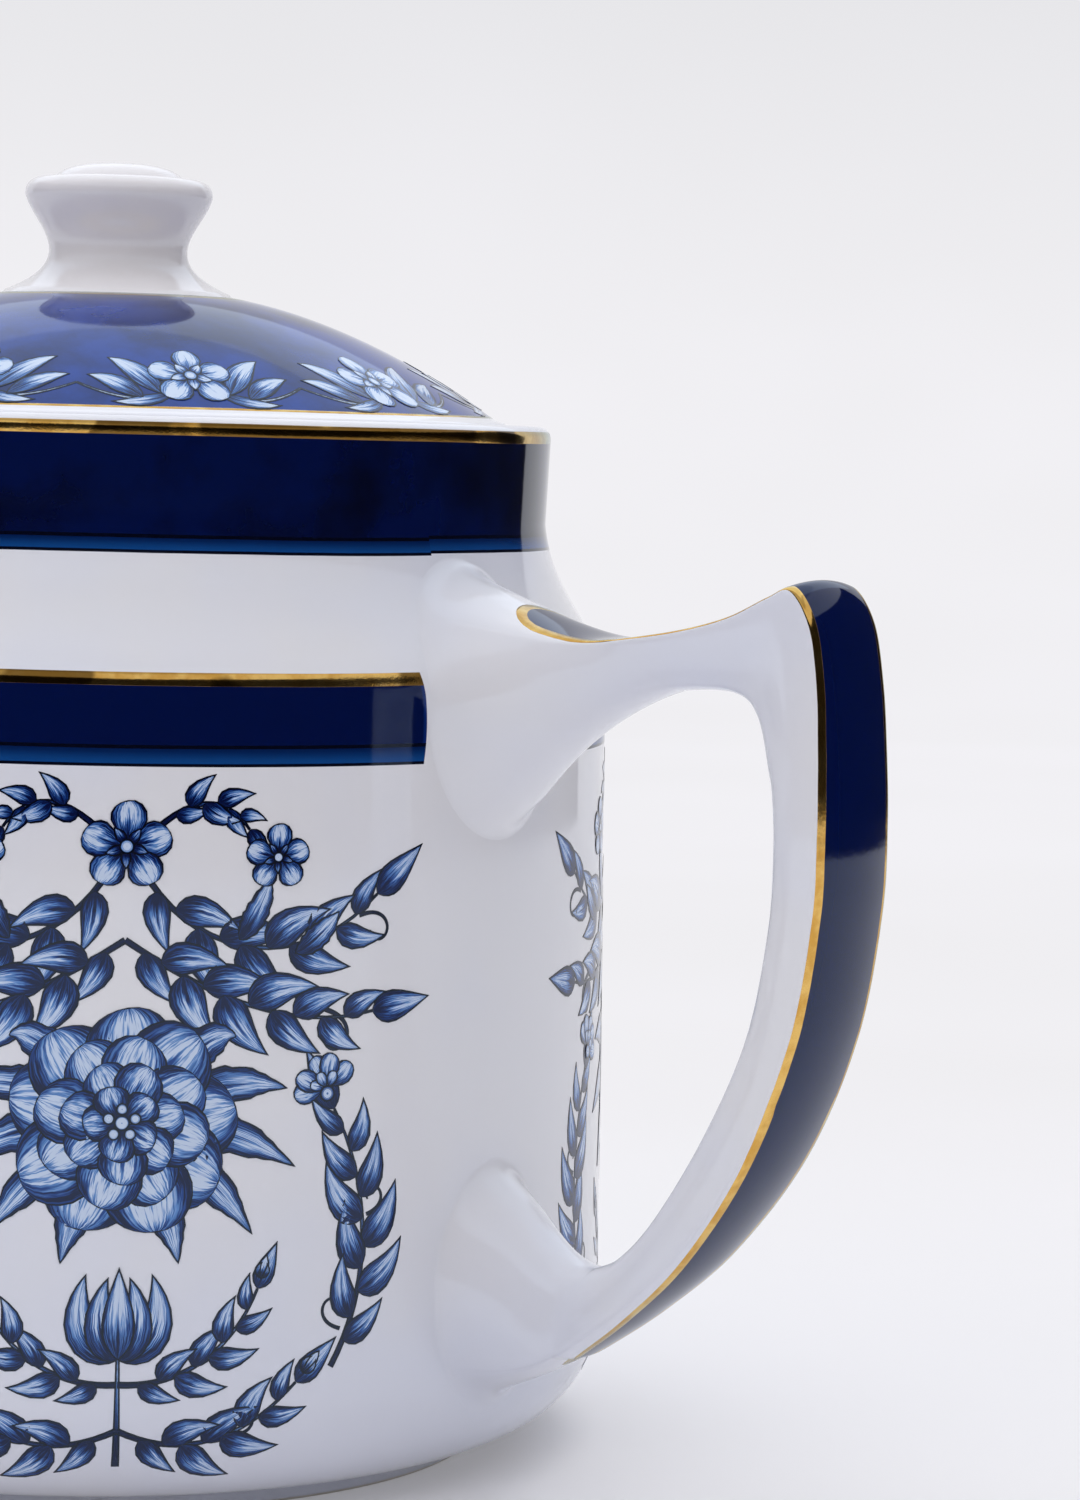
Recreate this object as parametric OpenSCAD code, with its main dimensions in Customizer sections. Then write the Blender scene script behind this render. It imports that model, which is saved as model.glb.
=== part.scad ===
// Porcelain teapot with a lidded collar, a squared loop handle and a curved spout.
// Millimetres. Origin at the centre of the foot ring, +Z up, handle towards +X, spout towards -X.

/* [Body] */
// Radius of the wall just above the bottom corner
wall_low_r = 66.1; // [64:0.1:68]
// Radius of the wall under the shoulder
wall_top_r = 65; // [63:0.1:66]
// Radius of the rounded bottom corner
corner_r = 13; // [9:0.5:15]
// Thickness of the cast wall
wall_t = 3.4; // [2.8:0.1:4]
// Height at which the shoulder starts to draw in
shoulder_z = 99.5; // [98:0.1:101]
// Outer radius of the collar
collar_r = 57; // [56:0.1:58]
// Height of the top of the collar
rim_z = 132.7; // [131:0.1:134]
// Outer radius of the foot ring
foot_r = 51; // [46:0.5:52]
// Height of the foot ring
foot_h = 2.8; // [2:0.1:4]

/* [Lid] */
// Radius of the lid's edge
lid_r = 51.7; // [51:0.1:51.9]
// Height of the flat pad under the knob
lid_pad_z = 148.3; // [147:0.1:149]
// Depth of the flange that hangs inside the collar
flange_h = 13.6; // [8:0.2:16]
// Radius of the steam hole
vent_r = 1.6; // [1:0.1:2.4]

/* [Knob] */
// Radius of the knob's waist
waist_r = 9; // [8:0.1:10]
// Largest radius of the knob
knob_r = 12.15; // [11:0.05:13]

/* [Handle] */
// Reach of the handle from the pot's axis
handle_reach = 117.9; // [112:0.1:120]
// Half of the width of the grip's outer band
band_half_w = 7.5; // [6.5:0.1:8]
// Crown of the outer band across its width
band_crown = 1; // [0.6:0.1:1.4]

/* [Spout] */
// Reach of the spout's lip from the pot's axis
spout_reach = 117.9; // [112:0.1:120]
// Wall thickness of the spout at the lip
lip_t = 2.4; // [2:0.1:3]
// Radius of one strainer hole
strainer_r = 2.2; // [1.6:0.1:2.4]

/* [Hidden] */
$fn = 180;

porcelain = "#f4f4f8";

// ---- curves -------------------------------------------------------------------------------------

function lerp(a, b, t) = a + (b - a) * t;

// Point at t on the cubic curve with the four control points p.
function cubic(p, t) =
    pow(1 - t, 3) * p[0] + 3 * pow(1 - t, 2) * t * p[1] + 3 * (1 - t) * t * t * p[2] + pow(t, 3) * p[3];

function curve(p, steps) = [for (i = [0:steps]) cubic(p, i / steps)];

function arc(centre, r, from, to, steps) =
    [for (i = [0:steps]) let (a = lerp(from, to, i / steps)) centre + r * [cos(a), sin(a)]];

// Catmull-Rom spline through the rows of a table, so each column of the table is eased alike.
function row(table, i) = table[max(0, min(len(table) - 1, i))];
function spline(table, u) =
    let (i = min(floor(u), len(table) - 2), t = u - i)
    let (a = row(table, i - 1), b = row(table, i), c = row(table, i + 1), d = row(table, i + 2))
    0.5 * (2 * b + (c - a) * t + (2 * a - 5 * b + 4 * c - d) * t * t + (3 * b - a - 3 * c + d) * t * t * t);

// ---- body profile, points [radius, height] ------------------------------------------------------

collar_low = [collar_r - 0.4, 120];
rim_round = 1.6;
gallery_r = 52.2;
ledge_z = 129.6;
ledge_t = 4;
throat_r = 46;
floor_t = 3.4;
foot_w = 4.6;
foot_round = 0.6;
floor_z = foot_h + floor_t;

shoulder = [[wall_top_r, shoulder_z], [wall_top_r, shoulder_z + 6], [collar_r + 0.6, 110.5], collar_low];
inner_shoulder = [
    [wall_top_r - wall_t, shoulder_z - 0.5], [wall_top_r - wall_t, shoulder_z + 4.5],
    [collar_r - wall_t + 0.4, 108.5], [collar_r - wall_t - 0.6, 117.5]];

// The outer wall from the bottom corner to the collar, with height rising all the way.
outer_wall = concat(
    arc([wall_low_r - corner_r, foot_h + corner_r], corner_r, -90, 0, 12),
    curve(shoulder, 16),
    [[collar_r, rim_z - 2.6]]);

foot_outer = [
    [0, foot_h], [foot_r - foot_w - 0.6, foot_h], [foot_r - foot_w, foot_round],
    [foot_r - foot_w + foot_round, 0], [foot_r - foot_round, 0], [foot_r, foot_round], [foot_r + 0.4, foot_h]];

rim = concat(
    arc([collar_r - rim_round, rim_z - rim_round], rim_round, 0, 90, 6),
    arc([gallery_r + 0.9, rim_z - 0.9], 0.9, 90, 180, 4),
    [[gallery_r, ledge_z], [throat_r + 0.5, ledge_z], [throat_r, ledge_z - 0.5],
     [throat_r, ledge_z - ledge_t + 0.5], [throat_r + 0.5, ledge_z - ledge_t]]);

inner_corner_r = corner_r - wall_t + 1;
inner_low_r = wall_low_r - wall_t;
inner_wall = concat(
    [for (i = [16:-1:0]) cubic(inner_shoulder, i / 16)],
    arc([inner_low_r - inner_corner_r, floor_z + inner_corner_r], inner_corner_r, 0, -90, 10),
    [[0, floor_z]]);

// Outer radius of the wall at a height.
wall_table = [for (p = outer_wall) [p[1], p[0]]];
function wall_r(z) = lookup(z, wall_table);

// Film of slip between the wall and a casting that is stuck on it.
slip_t = 0.08;

// Where such a casting meets the wall at a height, off the pot's mid plane by y.
function wall_x(y, z) = sqrt(pow(wall_r(z) + slip_t, 2) - y * y);

// ---- lofts --------------------------------------------------------------------------------------

ring_n = 28;
half_n = ring_n / 2;
ring_steps = 5;
fillet_steps = 8;
seat_steps = 6;
fillet_power = 4 / 3;

function mean(points) = [for (k = [0:2]) sum([for (p = points) p[k]]) / len(points)];
function sum(v, i = 0) = i == len(v) ? 0 : v[i] + sum(v, i + 1);

// The two triangles between point i of ring j and the next point of ring k.
function quad(j, k, i) =
    let (a = j * ring_n + i, b = j * ring_n + (i + 1) % ring_n)
    let (c = k * ring_n + (i + 1) % ring_n, d = k * ring_n + i)
    [[a, b, c], [a, c, d]];

// A solid through a row of rings, closed by a fan at each end.
module solid_loft(rings) {
    m = len(rings);
    points = concat([for (r = rings, p = r) p], [mean(rings[0]), mean(rings[m - 1])]);
    sides = [for (j = [0:m - 2], i = [0:ring_n - 1], f = quad(j, j + 1, i)) f];
    fan_a = [for (i = [0:ring_n - 1]) [m * ring_n, (i + 1) % ring_n, i]];
    fan_b = [for (i = [0:ring_n - 1]) let (k = (m - 1) * ring_n) [m * ring_n + 1, k + i, k + (i + 1) % ring_n]];
    polyhedron(points, concat(sides, fan_a, fan_b));
}

// A tube: the rings run out along the outer skin and back along the inner one, and close on the first.
module tube_loft(rings) {
    m = len(rings);
    points = [for (r = rings, p = r) p];
    polyhedron(points, [for (j = [0:m - 1], i = [0:ring_n - 1], f = quad(j, (j + 1) % m, i)) f]);
}

// An ellipse laid on the pot's wall about the height zc, which rises from the lower to the upper side.
// up = 1 starts it at its highest point, and up = -1 at its lowest.
function wall_ring(zc, half_h, half_w, up = 1) =
    [for (i = [0:ring_n - 1])
        let (b = 360 * i / ring_n, y = half_w * sin(b), z = zc + up * half_h * cos(b))
        [wall_x(y, z), y, z]];

// Smaller copies of a root's ellipse, from near its middle outwards, which seat it on the curved wall.
function seat_rings(root, up = 1) =
    [for (s = [1:seat_steps - 1]) wall_ring(root[0], s / seat_steps * root[1], s / seat_steps * root[2], up)];

// Rings that spread from the ring `from` in the air to the ring `onto` on the wall, as a soft fillet
// that leaves the wall and the arm along their own directions. They start at the wall.
function fillet_rings(from, onto) =
    [for (s = [1:fillet_steps - 1])
        let (a = 90 * s / fillet_steps)
        let (lift = 1 - pow(cos(a), fillet_power), spread = 1 - pow(sin(a), fillet_power))
        [for (i = [0:ring_n - 1])
            let (y = lerp(from[i][1], onto[i][1], spread), z = lerp(from[i][2], onto[i][2], spread))
            [lerp(wall_x(y, z), from[i][0], lift), y, z]]];

function reverse(v) = [for (i = [len(v) - 1:-1:0]) v[i]];

// ---- handle -------------------------------------------------------------------------------------

// Ribs of the handle in its mid plane, from the upper root round the grip to the lower root:
// [outer x, outer z, inner x, inner z, half width]. The outer line lies on the crown of the band.
reach = handle_reach;
handle_ribs = [
    [86, 108.4, 93, 101.4, 6],
    [95, 109.2, 97.2, 101.7, 6.2],
    [102.5, 111.2, 100.8, 101.6, 6.5],
    [108.6, 114.6, 103.2, 100.8, 6.8],
    [112, 115.9, 104.6, 99.2, 6.9],
    [reach - 2.9, 111.7, 105.5, 97, 7],
    [reach - 1.4, 105, 106.5, 93, 7.1],
    [reach - 0.6, 97.5, 107.3, 90, 7.3],
    [reach - 0.1, 88, 107.8, 84, band_half_w],
    [reach - 0.4, 77, 107.4, 75, band_half_w],
    [reach - 3.2, 62, 104.8, 62.3, band_half_w],
    [108.2, 47, 99.2, 50.2, band_half_w],
    [98.5, 34.2, 92.2, 39.2, 7.2],
    [89, 26, 87, 33.8, 6.8],
    [80.5, 20.2, 82.6, 31.6, 6.3]];
band_points = 4;
side_power = 0.75;

// One rib's ring: a crowned band across the outside, then sides that round off to the inner line.
function rib_ring(rib) =
    let (outer = [rib[0], rib[1]], inner = [rib[2], rib[3]], half_w = rib[4])
    let (depth = norm(inner - outer), inward = (inner - outer) / depth)
    [for (i = [0:ring_n - 1])
        let (side = i <= half_n ? 1 : -1, k = i <= half_n ? i : ring_n - i)
        let (a = 90 * max(0, k - band_points) / (half_n - band_points))
        let (across = k <= band_points ? sin(90 * k / band_points) : pow(cos(a), side_power))
        let (down = k <= band_points ? band_crown * across * across
                                     : lerp(band_crown, depth, pow(sin(a), side_power)))
        let (p = outer + down * inward)
        [p[0], side * half_w * across, p[1]]];

upper_root = [99, 17, 12.8];
lower_root = [26.8, 14.3, 10.7];

module handle() {
    ribs = len(handle_ribs);
    grip = [for (k = [0:(ribs - 1) * ring_steps]) rib_ring(spline(handle_ribs, k / ring_steps))];
    upper = wall_ring(upper_root[0], upper_root[1], upper_root[2]);
    lower = wall_ring(lower_root[0], lower_root[1], lower_root[2], -1);
    color(porcelain)
        solid_loft(concat(
            seat_rings(upper_root),
            [upper],
            fillet_rings(grip[0], upper),
            grip,
            reverse(fillet_rings(grip[len(grip) - 1], lower)),
            [lower],
            reverse(seat_rings(lower_root, -1))));
}

// ---- spout --------------------------------------------------------------------------------------

// Ribs of the spout in its mid plane, drawn towards +X and mirrored in place:
// [centre x, centre z, lean, half height, half width]. The lean tips the rib's top back to the pot.
lip_half_h = 8.1;
lip_lean = 72;
spout_ribs = [
    [64, 50, 0, 26, 18],
    [71, 52, 6, 21, 14.8],
    [80, 58.5, 20, 17.2, 12.6],
    [88, 69.5, 36, 14.4, 11.1],
    [94.5, 83, 50, 12.2, 10],
    [99.5, 98, 58, 10.4, 9],
    [104.5, 113, 61, 9, 8.1],
    [spout_reach - lip_half_h * sin(lip_lean), 126.5, lip_lean, lip_half_h, 7.4]];
root_inset = 6;

function spout_ring(rib, inset) =
    let (lean = rib[2], half_h = rib[3] - inset, half_w = rib[4] - inset)
    [for (i = [0:ring_n - 1])
        let (b = 360 * i / ring_n, up = half_h * cos(b))
        [rib[0] - up * sin(lean), half_w * sin(b), rib[1] + up * cos(lean)]];

// One skin of the spout. Its first rings run from the wall into the air, so that it seats on the pot.
function spout_skin(inset_root, inset_lip) =
    let (last = (len(spout_ribs) - 1) * ring_steps)
    [for (k = [0:last])
        let (lift = min(1, k / ring_steps))
        let (ring = spout_ring(spline(spout_ribs, k / ring_steps), lerp(inset_root, inset_lip, k / last)))
        [for (p = ring) [lerp(wall_x(p[1], p[2]), p[0], lift), p[1], p[2]]]];

module spout() {
    color(porcelain)
        mirror([1, 0, 0])
            tube_loft(concat(spout_skin(0, 0), reverse(spout_skin(root_inset, lip_t))));
}

// ---- body ---------------------------------------------------------------------------------------

strainer_z = 50;
strainer_pitch = 6.2;
strainer_half = [9.6, 14.6];

// Hexagonal rows of holes that lie inside an ellipse, drilled from the spout's side.
module strainer() {
    row_h = strainer_pitch * sin(60);
    for (r = [-3:3], c = [-3:3]) {
        y = (c + (r % 2 == 0 ? 0 : 0.5)) * strainer_pitch;
        z = r * row_h;
        if (pow(y / strainer_half[0], 2) + pow(z / strainer_half[1], 2) < 1)
            translate([-wall_low_r - 1, y, strainer_z + z])
                rotate([0, 90, 0])
                    cylinder(h = 3 * wall_t, r = strainer_r, $fn = 24);
    }
}

module pot_body() {
    color(porcelain)
        difference() {
            rotate_extrude() polygon(concat(foot_outer, outer_wall, rim, inner_wall));
            strainer();
        }
}

// ---- lid ----------------------------------------------------------------------------------------

lid_t = 3.4;
lid_edge_z = 133.3;
pad_r = 15.6;
flange_r = 44.6;
flange_t = 2.8;
dome = [[lid_r - 1.9, lid_edge_z], [38, 141.5], [26, lid_pad_z - 1.7], [pad_r, lid_pad_z]];
dome_under = [[pad_r - 3, lid_pad_z - lid_t], [24, lid_pad_z - lid_t - 1.7],
              [34, 139], [flange_r - flange_t, ledge_z + 4.4]];
lid_top = concat(
    [[lid_r - 0.7, ledge_z], [lid_r, ledge_z + 0.7], [lid_r, lid_edge_z - 1.7]],
    [[lid_r - 0.7, lid_edge_z - 0.5]],
    curve(dome, 16),
    [[0, lid_pad_z]]);
lid_inside = concat(
    [[0, lid_pad_z - lid_t]],
    curve(dome_under, 12),
    [[flange_r - flange_t, ledge_z - flange_h + 0.8]],
    [[flange_r - flange_t + 0.8, ledge_z - flange_h], [flange_r - 0.8, ledge_z - flange_h]],
    [[flange_r, ledge_z - flange_h + 0.8], [flange_r, ledge_z]]);
vent_x = 27;
vent_l = 16;

module lid() {
    color(porcelain)
        difference() {
            rotate_extrude() polygon(concat(lid_top, lid_inside));
            translate([-vent_x, 0, lid_pad_z - vent_l])
                cylinder(h = vent_l, r = vent_r, $fn = 24);
        }
}

// ---- knob ---------------------------------------------------------------------------------------

neck_r = 14.6;
waist_z = lid_pad_z + 5.8;
knob_z = lid_pad_z + 12.8;
knob_top_z = lid_pad_z + 15.2;
button_r = 8.4;
button_h = 2;
knob_profile = concat(
    [[0, lid_pad_z], [neck_r + 0.5, lid_pad_z]],
    curve([[neck_r, lid_pad_z + 0.5], [11.6, lid_pad_z + 1.8], [waist_r, waist_z - 2.6], [waist_r, waist_z]], 10),
    curve([[waist_r, waist_z], [waist_r, waist_z + 2.4], [knob_r - 0.8, knob_z - 2.6], [knob_r, knob_z]], 10),
    curve([[knob_r, knob_z], [knob_r + 0.2, knob_top_z - 0.8], [knob_r - 1, knob_top_z],
           [knob_r - 2.4, knob_top_z]], 6),
    curve([[button_r, knob_top_z], [button_r - 1.6, knob_top_z + button_h], [3, knob_top_z + button_h],
           [0, knob_top_z + button_h]], 8));

module lid_knob() {
    color(porcelain) rotate_extrude() polygon(knob_profile);
}

pot_body();
spout();
handle();
lid();
lid_knob();
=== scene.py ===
"""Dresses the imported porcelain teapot: glazed forms, cobalt bands, gold lines and a blue printed bouquet.

Lengths in the dataclasses are millimetres, as on a maker's drawing, and MM turns them into metres. The pot
stands on the origin with its axis on Z, its handle towards +X and its spout towards -X.
"""

import logging
import math
from dataclasses import dataclass, field
from enum import Enum
from typing import Any, Callable, Sequence

import bpy
import numpy as np
from mathutils import Matrix, Vector


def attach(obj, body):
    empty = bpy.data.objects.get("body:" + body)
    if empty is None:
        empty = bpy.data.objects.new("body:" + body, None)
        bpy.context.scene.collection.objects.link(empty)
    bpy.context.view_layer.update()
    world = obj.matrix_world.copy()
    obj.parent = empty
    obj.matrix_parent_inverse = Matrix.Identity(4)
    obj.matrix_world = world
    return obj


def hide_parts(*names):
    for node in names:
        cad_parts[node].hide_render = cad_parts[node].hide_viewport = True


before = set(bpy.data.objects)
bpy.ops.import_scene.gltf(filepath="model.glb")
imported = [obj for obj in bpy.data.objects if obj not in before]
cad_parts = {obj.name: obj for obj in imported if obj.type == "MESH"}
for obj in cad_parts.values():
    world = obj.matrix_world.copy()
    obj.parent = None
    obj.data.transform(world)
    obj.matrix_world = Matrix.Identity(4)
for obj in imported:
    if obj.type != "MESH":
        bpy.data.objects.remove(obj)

LOG = logging.getLogger("teapot")
MM = 0.001
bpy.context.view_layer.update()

Pair = tuple[float, float]
Triple = tuple[float, float, float]
Colour = tuple[float, float, float, float]
Piece = bpy.types.Object
Mesh = bpy.types.Mesh
Material = bpy.types.Material
NodeTree = bpy.types.NodeTree
Node = bpy.types.Node
Socket = bpy.types.NodeSocket
Faces = list[Sequence[int]]


# ---- Curves shared by the turned and the lofted forms ----


def bezier(points: Sequence[Sequence[float]], t: np.ndarray) -> np.ndarray:
    """Points of the cubic curve with four control points, at the places t from 0 to 1."""
    p, t = np.asarray(points, float), t[:, None]
    return (1 - t) ** 3 * p[0] + 3 * (1 - t) ** 2 * t * p[1] + 3 * (1 - t) * t * t * p[2] + t**3 * p[3]


def cubic(points: Sequence[Sequence[float]], steps: int) -> np.ndarray:
    """Samples a cubic curve at equal steps of its parameter, both ends among them."""
    return bezier(points, np.linspace(0.0, 1.0, steps + 1))


def arc(centre: Pair, radius: float, start: float, end: float, steps: int) -> np.ndarray:
    """Samples an arc about centre from the angle start to the angle end, both in degrees."""
    a = np.radians(np.linspace(start, end, steps + 1))
    return np.column_stack([centre[0] + radius * np.cos(a), centre[1] + radius * np.sin(a)])


def rows_between(low: Pair, high: Pair, steps: int) -> np.ndarray:
    """Points inside a straight run of an outline, without its two ends."""
    t = np.linspace(0.0, 1.0, steps + 1)[1:-1, None]
    return np.asarray(low) * (1 - t) + np.asarray(high) * t


def eased_rows(table: Sequence[Sequence[float]], steps: int) -> np.ndarray:
    """Eases every column of a table of ribs with a Catmull-Rom spline.

    Args:
        table: One row a rib.
        steps: Rows to make for each gap between two ribs.

    Returns:
        The eased rows, the first and last rib among them.
    """
    rows = np.asarray(table, float)
    last = len(rows) - 1
    eased = []
    for k in range(last * steps + 1):
        i = min(k // steps, last - 1)
        t = k / steps - i
        a, b, c, d = (rows[min(max(i + shift, 0), last)] for shift in (-1, 0, 1, 2))
        square, cube = 2 * a - 5 * b + 4 * c - d, 3 * b - a - 3 * c + d
        eased.append(0.5 * (2 * b + (c - a) * t + square * t * t + cube * t**3))
    return np.array(eased)


# ---- Mesh makers ----

SHARP_TURN = math.radians(38)
NORMALS_A_CHUNK = 4000
FAR = 9.0  # millimetres: stands for any place a line round an edge never reaches


def link(name: str, mesh: Mesh) -> Piece:
    """Puts a mesh in the scene under a name and returns its object."""
    piece = bpy.data.objects.new(name, mesh)
    bpy.context.scene.collection.objects.link(piece)
    return piece


def build_mesh(name: str, points: np.ndarray, faces: Sequence[Sequence[int]]) -> Mesh:
    """Makes a smooth mesh from points in millimetres."""
    mesh = bpy.data.meshes.new(name)
    mesh.from_pydata((np.asarray(points) * MM).tolist(), [], [list(f) for f in faces])
    mesh.shade_smooth()
    return mesh


def store(mesh: Mesh, name: str, values: np.ndarray) -> None:
    """Keeps one number a point on a mesh, for its material to read."""
    layer = mesh.attributes.new(name, "FLOAT", "POINT")
    layer.data.foreach_set("value", np.asarray(values, np.float32).ravel())


def evaluated_copy(piece: Piece, name: str) -> Mesh:
    """Turns a piece with its modifiers into a plain mesh and clears the modifiers."""
    bpy.context.view_layer.update()
    graph = bpy.context.evaluated_depsgraph_get()
    solid = piece.evaluated_get(graph)
    mesh = bpy.data.meshes.new_from_object(solid, preserve_all_data_layers=True, depsgraph=graph)
    mesh.name = name
    piece.modifiers.clear()
    piece.data = mesh
    return mesh


def drop(*pieces: Piece) -> None:
    """Removes helper objects that no longer serve."""
    for piece in pieces:
        bpy.data.objects.remove(piece, do_unlink=True)


def full_turn(count: int) -> np.ndarray:
    """Angles in equal steps round a whole turn, in radians."""
    return 2 * np.pi * np.arange(count) / count


def turned(line: np.ndarray, turn: np.ndarray) -> np.ndarray:
    """Rings about Z, one for each radius and height of a line, with a point at each angle."""
    line = np.asarray(line, float)
    flat = [line[:, :1] * np.cos(turn), line[:, :1] * np.sin(turn)]
    return np.stack([*flat, np.repeat(line[:, 1:], len(turn), 1)], -1)


def grid_faces(rows: int, columns: int, joined: bool = False, flip: bool = False) -> Faces:
    """Faces between rings of equal count.

    Args:
        rows: How many rings.
        columns: Points a ring.
        joined: True joins the last ring to the first.
        flip: True turns the faces over.

    Returns:
        The faces, ring by ring.
    """
    here = np.arange(columns)
    there = (here + 1) % columns
    faces: Faces = []
    for r in range(rows if joined else rows - 1):
        low, high = r * columns, (r + 1) % rows * columns
        second, fourth = (low + there, high + here) if flip else (high + here, low + there)
        faces += np.column_stack([low + here, second, high + there, fourth]).tolist()
    return faces


def fan_faces(hub: int, ring: int, count: int, flip: bool = False) -> Faces:
    """Triangles from the point hub to the ring of count points that starts at the point ring."""
    pairs = [(ring + i, ring + (i + 1) % count) for i in range(count)]
    return [(hub, j, i) if flip else (hub, i, j) for i, j in pairs]


def add_uv(mesh: Mesh, around: int, shares: np.ndarray) -> None:
    """Gives a skin of rings a UV map that runs round them and along them.

    Args:
        mesh: The rings, and after them the middles of its two ends if it has them.
        around: Points a ring.
        shares: How far along the skin each ring lies, from 0 to 1.
    """
    count = len(shares)
    layer = mesh.uv_layers.new(name="UVMap").data
    for face in mesh.polygons:
        cells = [divmod(v, around) for v in face.vertices]
        lines = [line for line, _ in cells if line < count]
        columns = [column for line, column in cells if line < count]
        seam_u = max(columns) - min(columns) > around // 2
        seam_v = max(lines) - min(lines) > count // 2
        for loop, (line, column) in zip(face.loop_indices, cells):
            if line >= count:
                layer[loop].uv = (np.mean(columns) / around, float(column))
                continue
            u = around if seam_u and column == 0 else column
            layer[loop].uv = (u / around, 1.0 if seam_v and line == 0 else shares[line])


@dataclass(frozen=True)
class Outline:
    """The outline of a turned form: points of radius and height, with the solid on its left."""

    points: np.ndarray

    def lengths(self) -> np.ndarray:
        """Distance along the outline to each point."""
        steps = np.linalg.norm(np.diff(self.points, axis=0), axis=1)
        return np.concatenate([[0.0], np.cumsum(steps)])

    def radius_at(self, z: np.ndarray) -> np.ndarray:
        """The outline's radius at each height."""
        return np.interp(z, self.points[:, 1], self.points[:, 0])

    def x_at(self, y: np.ndarray, z: np.ndarray) -> np.ndarray:
        """Where the turned form is, off its mid plane by y."""
        return np.sqrt(self.radius_at(z) ** 2 - y * y)

    def normals_at(self, places: np.ndarray) -> np.ndarray:
        """Outward normals at the outline's nearest points.

        Args:
            places: Points of radius and height, one a row.

        Returns:
            One unit vector of radius and height for each place.
        """
        a, run = self.points[:-1], np.diff(self.points, axis=0)
        reach = np.maximum((run**2).sum(1), 1e-12)
        flat = np.column_stack([run[:, 1], -run[:, 0]]) / np.sqrt(reach)[:, None]
        node = np.vstack([flat[:1], flat[:-1] + flat[1:], flat[-1:]])
        node /= np.maximum(np.linalg.norm(node, axis=1, keepdims=True), 1e-9)
        found = []
        for chunk in np.array_split(places, max(1, len(places) // NORMALS_A_CHUNK)):
            t = np.clip(((chunk[:, None, :] - a) * run).sum(2) / reach, 0, 1)
            gap = ((a + t[..., None] * run - chunk[:, None, :]) ** 2).sum(2)
            best = gap.argmin(1)
            share = t[np.arange(len(chunk)), best][:, None]
            eased = node[best] * (1 - share) + node[best + 1] * share
            found.append(eased / np.linalg.norm(eased, axis=1, keepdims=True))
        return np.vstack(found)

    def spun(self, name: str, segments: int) -> Mesh:
        """Spins an outline that starts and ends on the axis into a closed, smooth mesh.

        Args:
            name: The mesh's name.
            segments: Steps round the axis.

        Returns:
            The mesh, with a UV map that runs round the axis and along the outline.
        """
        grid = turned(self.points[1:-1], full_turn(segments))
        first = len(grid) * segments
        faces = fan_faces(first, 0, segments, flip=True)
        faces += grid_faces(len(grid), segments, flip=True)
        faces += fan_faces(first + 1, first - segments, segments)
        ends = [[0, 0, self.points[0][1]], [0, 0, self.points[-1][1]]]
        mesh = build_mesh(name, np.vstack([grid.reshape(-1, 3), ends]), faces)
        add_uv(mesh, segments, self.lengths()[1:-1] / self.lengths()[-1])
        mesh.set_sharp_from_angle(angle=SHARP_TURN)
        return mesh


def lofted(name: str, rings: np.ndarray, closed: bool) -> Mesh:
    """Skins a row of rings of equal count.

    Args:
        name: The mesh's name.
        rings: Points by ring, point and axis, whose faces point outwards when the rings turn clockwise
            about the way they advance.
        closed: True joins the last ring to the first, and False closes each end with a fan.

    Returns:
        The mesh, with a UV map of the share round each ring and the share along the rings.
    """
    count, around = rings.shape[:2]
    points = rings.reshape(-1, 3)
    faces = grid_faces(count, around, joined=closed)
    if not closed:
        points = np.vstack([points, rings[0].mean(0), rings[-1].mean(0)])
        first = count * around
        faces += fan_faces(first, 0, around) + fan_faces(first + 1, first - around, around, flip=True)
    mesh = build_mesh(name, points, faces)
    add_uv(mesh, around, np.arange(count) / count)
    return mesh


# ---- Node helpers ----

NODES_A_ROW = 8
NODE_SPACING = (220, 260)
UPWARDS = (0.0, 0.0, 1.0)


def linear(rgb: Triple) -> Colour:
    """A colour of 0 to 255 on a screen as the linear colour that nodes take."""
    parts = [c / 255 for c in rgb]
    return (*[c / 12.92 if c <= 0.04045 else ((c + 0.055) / 1.055) ** 2.4 for c in parts], 1.0)


class Grain(Enum):
    """The noises that break up the surfaces, each with its scale, detail and roughness."""

    ORANGE_PEEL = (900.0, 1.0, 0.5)
    GLAZE_WAVE = (95.0, 2.0, 0.5)
    GLAZE_CLOUD = (22.0, 3.0, 0.5)
    GLOSS = (35.0, 2.0, 0.5)
    COBALT_CLOUD = (60.0, 3.0, 0.6)
    COBALT_DUST = (1400.0, 1.0, 0.5)
    GOLD_DRAG = (300.0, 3.0, 0.6)
    GOLD_WAVE = (38.0, 1.0, 0.4)
    GOLD_PATCH = (55.0, 1.0, 0.5)
    GOLD_DUST = (3800.0, 1.0, 0.5)
    GOLD_DULL = (64.0, 3.0, 0.45)
    BAND_EDGE = (45.0, 2.0, 0.5)
    LID_EDGE = (60.0, 2.0, 0.5)
    FINE_EDGE = (160.0, 2.0, 0.5)
    ENGRAVING = (2.2, 2.0, 0.6)
    INK_EDGE = (1800.0, 1.0, 0.5)
    FELT = (12.0, 2.0, 0.5)
    PAPER = (3.0, 2.0, 0.5)


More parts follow.
